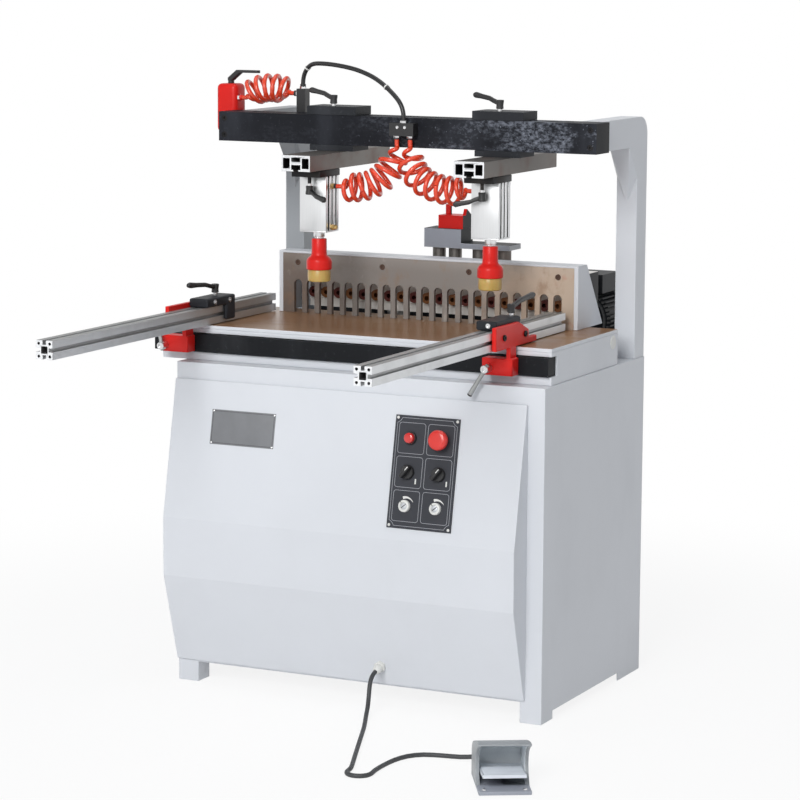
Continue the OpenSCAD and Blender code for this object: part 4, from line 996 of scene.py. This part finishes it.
def line_frame(width, height, corner, line, profile=0.5):
    """A thin raised line round a rectangle with shaped corners."""
    bpy.ops.object.select_all(action="DESELECT")
    bpy.ops.mesh.primitive_plane_add(size=1, location=(0, 0, 0))
    piece = bpy.context.object
    piece.scale = (width * MM, height * MM, 1)
    bpy.ops.object.transform_apply(location=True, rotation=True, scale=True)
    edit(piece)
    bpy.ops.mesh.bevel(affect="VERTICES", offset=corner * MM, segments=5, profile=profile)
    bpy.ops.mesh.select_all(action="SELECT")
    bpy.ops.mesh.inset(thickness=line * MM)
    bpy.ops.mesh.delete(type="FACE")
    bpy.ops.mesh.select_all(action="SELECT")
    bpy.ops.mesh.extrude_region_move(TRANSFORM_OT_translate={"value": (0, 0, 0.3 * MM)})
    bpy.ops.mesh.select_all(action="SELECT")
    bpy.ops.mesh.normals_make_consistent(inside=False)
    return done()


# %% Frames and rivets
PRINT = 2.9
FRAME_COLUMN = 0.94 * COLUMN
controls = [(u, share) for u in (-FRAME_COLUMN, FRAME_COLUMN) for share in ROWS]
frames = [on_panel(line_frame(PANEL_W - 10, PANEL_H - 10, 11, 0.9, 0.15), 0, 0.5, PRINT)]
for small, (u, share) in zip(copies(line_frame(62, 66, 6, 0.9), len(controls)), controls):
    frames.append(on_panel(small, u, share, PRINT))
settle(join(frames), "panel_lines", line_print, "frame", "panel_grey")
corners = [(u, share) for u in (-69, 69) for share in (0.024, 0.976)]
rivets = copies(turned([(3.2, 0), (3.0, 0.9), (2.0, 1.5), (0.8, 1.7)], 16), len(corners))
rivets = [on_panel(rivet, u, share, PRINT) for rivet, (u, share) in zip(rivets, corners)]
settle(join(rivets), "panel_rivets", white_plastic, "frame", "white_plastic")
print(len(frames), "frames and", len(rivets), "rivets on the panel")

# %% Printed marks
BOW, BOW_END, BOW_SWELL = 21.0, 0.8, 5.2
angles = [math.radians(a) for a in range(28, 118, 10)]
outer = [(BOW * math.cos(a), BOW * math.sin(a)) for a in angles]
inner = []
for i, a in enumerate(angles):
    radius = BOW - BOW_END - BOW_SWELL * i / (len(angles) - 1)
    inner.append((radius * math.cos(a), radius * math.sin(a)))
marks = []
for u in (-COLUMN, COLUMN):
    marks.append(on_panel(pulled(outer + inner[::-1], 0, 0.3), u, ROWS[2], PRINT))
    marks.append(on_panel(block((18, -24, 0), (21, -13, 0.3), 0.1), u, ROWS[1], PRINT))
settle(join(marks), "panel_marks", white_plastic, "frame", "white_plastic")

# %% Lamp and stop button
bezel = dress(turned([(14, 0), (14, 4), (13, 5.5), (11.8, 5.5), (11.4, 4)], 40), black_plastic)
lens_cap = dress(turned([(11.2, 3), (11.2, 10), (10.6, 12), (9, 13.2), (6, 13.9), (2, 14)], 40), red_lens)
lamp_piece = on_panel(join([lens_cap, bezel]), -COLUMN, ROWS[0])
settle(lamp_piece, "power_lamp_form", None, "frame", "red_lens", "power_lamp")
mushroom = turned([(11, -3), (11, 12), (18.5, 12.2), (21, 14), (21.5, 17), (21.3, 22), (20.2, 25),
                   (17.6, 26.9), (12, 27.8), (4, 28)], 48)
settle(on_panel(mushroom, COLUMN, ROWS[0]), "stop_button_form", red_plastic, "stop_button_body",
       "red_plastic", "stop_button")

# %% Selectors and dials
KNOB_LIFT = 3.3
SELECTOR_TURN, DIAL_TURN = -38, 40
for side, u in (("left", -COLUMN), ("right", COLUMN)):
    base = dress(turned([(15.5, 0), (15.5, 4), (14.6, 7), (13.6, 8)], 40), black_plastic)
    bar = dress(block((-4, -15.2, 5), (4, 15.2, 22), 2.2, 3), black_plastic)
    mark = dress(block((-0.9, 4, 21.6), (0.9, 14.2, 22.15), 0.2), white_plastic)
    knob = on_panel(join([base, bar, mark]), u, ROWS[1], KNOB_LIFT, SELECTOR_TURN)
    settle(knob, f"selector_{side}_form", None, f"selector_{side}_body", "black_plastic", f"selector_{side}")
    ring = dress(turned([(13, 0), (13, 4.5), (12, 6.4), (10.5, 7), (8.2, 7), (7.6, 5.2)], 40), white_plastic)
    core = dress(turned([(7.4, 3), (7.4, 5), (6.8, 5.8), (6, 6)], 32), plate_metal)
    groove = dress(block((-6.5, -0.9, 5.6), (6.5, 0.9, 6.15), 0.2), black_steel)
    tick = dress(block((-0.7, 7.6, 6.8), (0.7, 12.4, 7.1), 0.15), black_plastic)
    knob = on_panel(join([ring, core, groove, tick]), u, ROWS[2], KNOB_LIFT, DIAL_TURN)
    settle(knob, f"dial_{side}_form", None, f"dial_{side}_body", "white_plastic", f"dial_{side}")
kinds = ("power_", "stop_button_", "selector_", "dial_")
made = [o.name for o in bpy.data.objects if o.name.startswith(kinds) and o.name.endswith("_form")]
print("controls:", made)

# %% Nameplate
plate = dress(block((-78.5, -38, 0), (78.5, 38, 0.8), 0.3), plate_grey)
border = dress(line_frame(151, 70, 4, 0.7), black_plastic)
border.matrix_world = Matrix.Translation((0, 0, 0.6 * MM))
rivets = copies(dress(turned([(2.2, 0.6), (2.0, 1.4), (0.8, 1.9)], 16), bright_steel), 4)
for rivet, (u, v) in zip(rivets, ((-75, -34.5), (75, -34.5), (75, 34.5), (-75, 34.5))):
    rivet.matrix_world = Matrix.Translation((u * MM, v * MM, 0))
plate_place = on_slope(-261.5, 99)
piece = stand(join([plate, border] + rivets), plate_place, OUTWARD)
settle(piece, "nameplate", None, "frame", "aluminium")
print("nameplate at", [round(v, 3) for v in spot(*plate_place)])

# %% [markdown]
# ## Brackets, handles and stops
# Each rail hangs on a red bracket, which a tommy handle clamps to the black bar. The handle's rod is turned,
# a little thicker towards its dark end. Socket screws hold the rail to its bracket and the stop to its rail;
# one screw is modelled, by turning a head and pushing a key hole into its top, and the rest are copies.

# %% Tommy handles
for side, x, turn in (("left", -467, 100), ("right", 312, -122)):
    hub = dress(turned([(9, 0), (9, 20), (8.4, 23), (7.2, 24), (4.6, 24), (4.4, 21)], 32), bright_steel)
    rod = turned([(3.4, -11), (4.4, -10), (4.4, 40), (5.0, 54), (5.4, 64), (4.8, 66)], 24)
    tip = turned([(4.9, 64.5), (5.3, 65), (5.3, 67.6), (4.4, 68.5)], 24)
    for part, finish in ((rod, rail_top), (tip, black_plastic)):
        dress(part, finish)
        part.matrix_world = Matrix.Translation((0, 0, 16 * MM)) @ Matrix.Rotation(math.radians(90), 4, "Y")
    piece = join([hub, rod, tip])
    piece.matrix_world = (Matrix.Translation(spot(x, -344.6, 752)) @ Matrix.Rotation(math.radians(90), 4, "X")
                          @ Matrix.Rotation(math.radians(turn), 4, "Z"))
    node = f"bracket_handle_{side}"
    settle(piece, node + "_form", None, body_of[node], slot_of[node], node)
print("tommy handles on both brackets")

# %% [markdown]
# ## Hollow profiles
# The rails and the clamps' arms are drawn profiles that are hollow. Only their front ends are seen into, so a
# Boolean takes a short square block out of each of those, and the faces in there are painted black: painted
# shade, where little light reaches. The rails' open grooves get a darker metal, painted shade as well, and
# their tops a darker, stained metal, for dirt and painted shade. Another Boolean takes the lower edge off
# each of the two bracket blocks.


# %% Hollow ends
def box_mm(node):
    return [Vector(corner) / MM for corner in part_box(node)]


HOLE_DEPTH, CLEAR = 60, 5
GROOVE_FROM, GROOVE_HALF = 8.5, 5
BRACKET_CUT = 8


def hollow(node, half, low_share, high_share, inside):
    """Cuts a square hole into a profile's front end and paints its hollows black as painted shade, but not
    the open grooves.
    """
    low, high = box_mm(node)
    middle = (low + high) / 2
    floor_z, roof_z = low.z + low_share * (high.z - low.z), low.z + high_share * (high.z - low.z)
    near, far = low.y - CLEAR, low.y + HOLE_DEPTH
    tool = block((middle.x - half, near, floor_z), (middle.x + half, far, roof_z), 1.5)
    profile = cut_away(skin(node), tool)
    reach = (high - low) / 2 * MM
    middle = middle * MM

    def within(face):
        return (abs(face.normal.y) < 0.5 and abs(face.center.x - middle.x) < reach.x - inside * MM
                and abs(face.center.z - middle.z) < reach.z - inside * MM)

    def in_groove(face):
        across, up = abs(face.center.x - middle.x), abs(face.center.z - middle.z)
        return within(face) and max(across, up) > GROOVE_FROM * MM and min(across, up) < GROOVE_HALF * MM

    # The faces inside the profile go black: painted shade.
    paint_faces(flat_faces(profile), black_plastic, within)
    return profile, in_groove


for side in ("left", "right"):
    rail, in_groove = hollow(f"rail_{side}", half=7.5, low_share=0.31, high_share=0.69, inside=1.2)
    roof = box_mm(f"rail_{side}")[1].z * MM
    # The open grooves get a darker metal: painted shade in them.
    paint_faces(rail, groove_metal, in_groove)
    # The tops get a darker, stained metal: dirt, and painted shade on faces that look up.
    paint_faces(rail, rail_top, lambda face: face.normal.z > FACING and face.center.z > roof - MM)
    hollow(f"clamp_arm_{side}", half=11, low_share=0.60, high_share=0.86, inside=1.5)
    low, high = box_mm(f"rail_bracket_{side}")
    beyond = (high.x + CLEAR, high.y + CLEAR, low.z + BRACKET_CUT)
    edge = block(low - Vector((CLEAR, CLEAR, CLEAR)), beyond, 0.5)
    flat_faces(cut_away(skin(f"rail_bracket_{side}"), edge))
print("hollow ends cut", HOLE_DEPTH, "mm deep")

# %% Screws of the brackets and stops
for side, x, way in (("right", 360.6, 1), ("left", -424.6, -1)):
    screws(f"bracket_screws_{side}", [(x, -376, 822), (x, -268, 819)], (way, 0, 0), black_steel,
           f"rail_{side}_body", "black_oxide", 6.5, 4)
screws("stop_screws_left", [(-367, -301, 847), (-367, -236, 846)], (1, 0, 0), bright_steel, "stop_left_body",
       "handle_steel", 5.5, 3)
screws("stop_screws_right", [(331.5, -390.2, 847)], (0, -1, 0), bright_steel, "stop_right_body",
       "handle_steel", 5.5, 3)

# %% [markdown]
# ## Foot switch and gland
# The foot switch is a grey casting with a hood over a pedal that hinges at the back. The hood is drawn from
# the side and pulled to its width, and a second form that is drawn the same way hollows it, which leaves a
# lip over the toes. Its pedal has ribs against slipping, and screws hold its base. The cord leaves the cover
# through a white plastic gland, a hexagon nut with a domed cap.

# %% Hood
FOOT_PLACE = Matrix.Translation(spot(547, -785, 0)) @ Matrix.Rotation(math.radians(30), 4, "Z")
SIDEWAYS = Matrix.Rotation(math.radians(90), 4, "Z") @ Matrix.Rotation(math.radians(90), 4, "X")


def drawn_from_side(outline, half_width):
    piece = pulled(outline, -half_width, half_width)
    piece.matrix_world = SIDEWAYS
    return fix_place(piece)


HOOD_HALF, HOLLOW_HALF = 52, 45
shell = drawn_from_side([
    (-33, 4), (75, 4), (75, 44), (73, 54), (68, 63), (60, 70), (48, 76), (20, 84.5), (-20, 93.5), (-48, 98),
    (-62, 97.5), (-63, 94.5), (-46, 88), (-30, 80), (-17, 70), (-9, 58), (-7, 44), (-11, 30), (-20, 17),
], HOOD_HALF)
hollow_form = drawn_from_side([
    (-90, 8), (69, 8), (69, 42), (66, 52), (60, 60), (50, 67), (20, 79), (-20, 88.5), (-46, 93), (-90, 99),
], HOLLOW_HALF)
hood = dress(round_edges(cut_away(shell, hollow_form), 2.6, 3, 40), casting_paint)
# The faces inside the hood and under its roof are painted pale: painted light where the hood shades them.
paint_faces(hood, hood_inside, lambda face: abs(face.center.x) < (HOLLOW_HALF + 1) * MM
            and face.center.z > 8.5 * MM and face.center.y > -20 * MM
            and face.normal.y < 0.1 and face.normal.z < 0.3)
plate = dress(block((-52, -75, 0), (52, 75, 8), 2.0), block_grey)
port = dress(turned([(8, 0), (8, 10), (7, 12), (5, 12)], 24), black_plastic)
port.matrix_world = Matrix.Translation((0, 75 * MM, 36 * MM)) @ Matrix.Rotation(math.radians(-90), 4, "X")
hood = join([hood, plate, port])
hood.matrix_world = FOOT_PLACE
settle(hood, "foot_switch_form", None, "frame", slot_of["foot_switch"], "foot_switch")
print("hood over", 2 * HOLLOW_HALF, "mm of pedal")

# %% Pedal ribs, base screws and gland
tilt = Matrix.Translation((0, 55 * MM, 24 * MM)) @ Matrix.Rotation(math.radians(-5), 4, "X")
RIBS, RIB_STEP = 9, 9
ribs = []
for i in range(RIBS):
    rib = block((-40, -112 + RIB_STEP * i, 3.2), (40, -108 + RIB_STEP * i, 4.6), 0.6)
    rib.matrix_world = FOOT_PLACE @ tilt
    ribs.append(rib)
settle(join(ribs), "pedal_ribs", pedal_plastic, "pedal_body", "pedal_plate")
heads = copies(turned([(4.5, 8), (4.2, 9.4), (3.0, 10.4), (1.0, 10.8)], 20), 2)
for head, x in zip(heads, (-40, 40)):
    head.matrix_world = FOOT_PLACE @ Matrix.Translation((x * MM, -62 * MM, 0))
settle(join(heads), "foot_base_screws", bright_steel, "frame", "steel")
GLAND_TILT = 0.2868
hexagon = turned([(13, 0), (13, 7), (12, 8)], 6)
dome = turned([(9.5, 7), (9.8, 10), (9.4, 17), (8.6, 21), (6.6, 25), (5.0, 26)], 32)
way = (0, -math.cos(GLAND_TILT), -math.sin(GLAND_TILT))
gland = stand(join([hexagon, dome]), (71, -359.1, 91), way)
settle(gland, "cord_gland_form", white_plastic, "frame", slot_of["cord_gland"], "cord_gland")
print("foot switch and gland dressed")

# %% [markdown]
# ## Small trim
# Ties hold the supply hose, and every hose ends in a fitting. The table's right end has a plastic plug, and
# two screws hold the manifold to the beam. Such small things are what makes a machine look used, and each is
# turned or pulled as the real one would be.


# %% Ties and fittings
def tie(place, way, radius, width=3.0):
    """A strap round a hose: a ring turned with a hole, and its small lock."""
    ring = turned([(radius, 0), (radius + 1.2, 0.2), (radius + 1.2, width - 0.2), (radius, width)], 24)
    lock = block((radius + 0.6, -2.2, -0.4), (radius + 4, 2.2, width + 0.4), 0.5)
    return stand(join([ring, lock]), place, way)


STRAP = 5.2
VALVE_PORT = (-458, -27, 1280)
ties = [tie((-280.2, -31.5, 1349), (0.62, -0.22, 0.75), STRAP),
        tie((-42.2, -116, 1317.8), (0.82, -0.29, -0.49), STRAP)]
settle(join(ties), "hose_ties", white_plastic, "frame", "white_plastic")
fittings = (
    ((-6, -134.5, 1214), (0, 0, -1)), ((26, -134.5, 1214), (0, 0, -1)), ((10, -134.5, 1242), (0, 0, 1)),
    ((-293, -27, 1304), (0, 0, 1)), ((-304, -27, 1293), (-1, 0, 0)), (VALVE_PORT, (1, 0, 0)),
)
nuts = copies(turned([(7.6, 0), (7.6, 4), (6.8, 5)], 6), len(fittings))
nuts = [stand(nut, place, way) for nut, (place, way) in zip(nuts, fittings)]
settle(join(nuts), "hose_nuts", bright_steel, "frame", "steel")
plug = stand(turned([(15, -1), (15, 1.2), (13.5, 2.2), (6, 2.4)], 32), (436.5, 38, 769), (1, 0, 0))
settle(plug, "table_plug", white_plastic, "frame", "white_plastic")
screws("manifold_screws", [(1, -147, 1233), (19, -147, 1233)], (0, -1, 0), bright_steel, "frame", "steel",
       3.4, 2)
print(len(ties), "ties and", len(nuts), "hose nuts")

# %% [markdown]
# ## Air valve and rear sheets
# The shut-off valve is a red block with well rounded edges, a short arm to the left column and a turned port
# for its hose. A dark sheet stands behind the drill head as painted shade, so that the slots show shade and
# not the white behind, and the back of the cabinet has a panel with six screws. The valve's block and arm and
# both sheets are cubes between two corners in mm from the middle slot, rounded along their edges.


# %% Valve, shade sheet and panel
def from_slot(piece):
    """Moves a piece with corners in mm from the middle slot to where spot puts such points."""
    piece.matrix_world = Matrix.Translation(spot(0, 0, 0))
    return piece


body = from_slot(block((-510, -40, 1201), (-458, 10, 1311), 11, 4))
mount = from_slot(block((-459, -30, 1201.2), (-438, 0, 1231), 2))
port = stand(turned([(6.5, -1), (6.5, 9), (5.8, 10)], 24), VALVE_PORT, (1, 0, 0))
settle(join([body, mount, port]), "valve_body_form", red_paint, "frame", slot_of["valve_body"], "valve_body")
# A dark sheet behind the drill head: painted shade seen through the slots.
shade_sheet = from_slot(block((-389, 212.5, 716), (98, 214.5, 790), 0.6))
settle(shade_sheet, "rear_apron", motor_paint, "frame", slot_of["cabinet"])
panel = from_slot(block((-330, 219, 130), (330, 221.4, 640), 0.8))
settle(flat_faces(panel), "rear_panel", body_paint, "frame", slot_of["cabinet"])
screws("rear_panel_screws", [(x, 221.2, z) for x in (-310, 0, 310) for z in (150, 620)], (0, 1, 0),
       bright_steel, "frame", "steel", 5, 3)
print("valve, apron and rear panel fitted")

# %% [markdown]
# ## Studio
# The floor is pale and the light is soft, from large lamps. A white surround comes from the floor and the
# world themselves, seen by the camera and in reflections, so that the lamps stay at a level where paint shows
# its own colour. Near the machine the floor keeps a little of its own light, and with it the machine's
# shadow. Above, the world darkens, so that what faces up doesn't mirror pure white.

# %% Floor
bpy.ops.object.select_all(action="DESELECT")
bpy.ops.mesh.primitive_plane_add(size=60, location=(0, 0, 0))
floor = bpy.context.object
floor.name = "studio_floor"
floor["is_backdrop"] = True


def seen_direct(network):
    """1 for what the camera, mirrors and glass see, and 0 for the light that surfaces receive."""
    names = ("Is Camera Ray", "Is Glossy Ray", "Is Transmission Ray")
    camera_ray, glossy_ray, glass_ray = (network.node("LightPath", out=name) for name in names)
    return camera_ray | glossy_ray | glass_ray


pale = Finish("pale_floor", roughness=0.9)
pale.set("Base Color", pale.mix(pale.noise(2.0), grey(0.92), grey(0.94)))
white = pale.node("Emission", None, {"Strength": 1.0})
lit = Value(pale, pale.shader.outputs[0])
away = pale.node("VectorMath", {"operation": "LENGTH"}, {0: pale.place}, out="Value")
share = pale.between(away, 0.9, 2.4) * 0.14 + 0.86
shown = pale.node("MixShader", None, {0: seen_direct(pale) * share, 1: lit, 2: white})
pale.feed(pale.tree.nodes["Material Output"].inputs["Surface"], shown)
floor.data.materials.append(pale.material)
print("floor", floor.dimensions.x, "m wide")

# %% World
AMBIENT = (0.235, 0.247, 0.267)
scene = bpy.context.scene
scene.view_settings.view_transform = "Standard"
world = bpy.data.worlds.new("studio_world")
scene.world = world
world.use_nodes = True
sky = Network(world.node_tree)
upward = sky.node("SeparateXYZ", None, {0: sky.node("TexCoord", out="Generated")}, out="Z")
stops = [(0.15, (*grey(1.0), 1)), (0.75, (*grey(0.35), 1))]
ceiling = sky.node("ValToRGB", {"stops": stops}, {0: upward})
sky.feed(sky.tree.nodes["Background"].inputs["Color"], sky.mix(seen_direct(sky), AMBIENT, ceiling))
print("world", world.name, "with", len(sky.tree.nodes), "nodes")


# %% Lamps
def lamp(name, place, target, size, power):
    light = bpy.data.lights.new(name, "AREA")
    light.size = size
    light.energy = power
    made = bpy.data.objects.new(name, light)
    scene.collection.objects.link(made)
    made.location = place
    made.rotation_euler = (Vector(target) - Vector(place)).to_track_quat("-Z", "Y").to_euler()


lamp("key_lamp", (0.8, -8.0, 4.8), (0, 0, 0.7), 4.0, 545)
lamp("fill_lamp", (7.0, -4.0, 4.0), (0, 0, 0.7), 4.0, 22)
lamp("top_lamp", (0.0, 0.5, 6.0), (0, 0, 0.6), 4.0, 90)

# %% [markdown]
# ## Finish
# The dressed model stays inside the box of the solids, apart from a few millimetres, and the growth of its
# spans over those of the solids is printed.

# %% Sizes
bpy.context.view_layer.update()
new_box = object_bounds()
spans = [[high - low for low, high in zip(*box)] for box in (cad_box, new_box)]
print("grown by", [round(new - old, 4) for old, new in zip(*spans)])
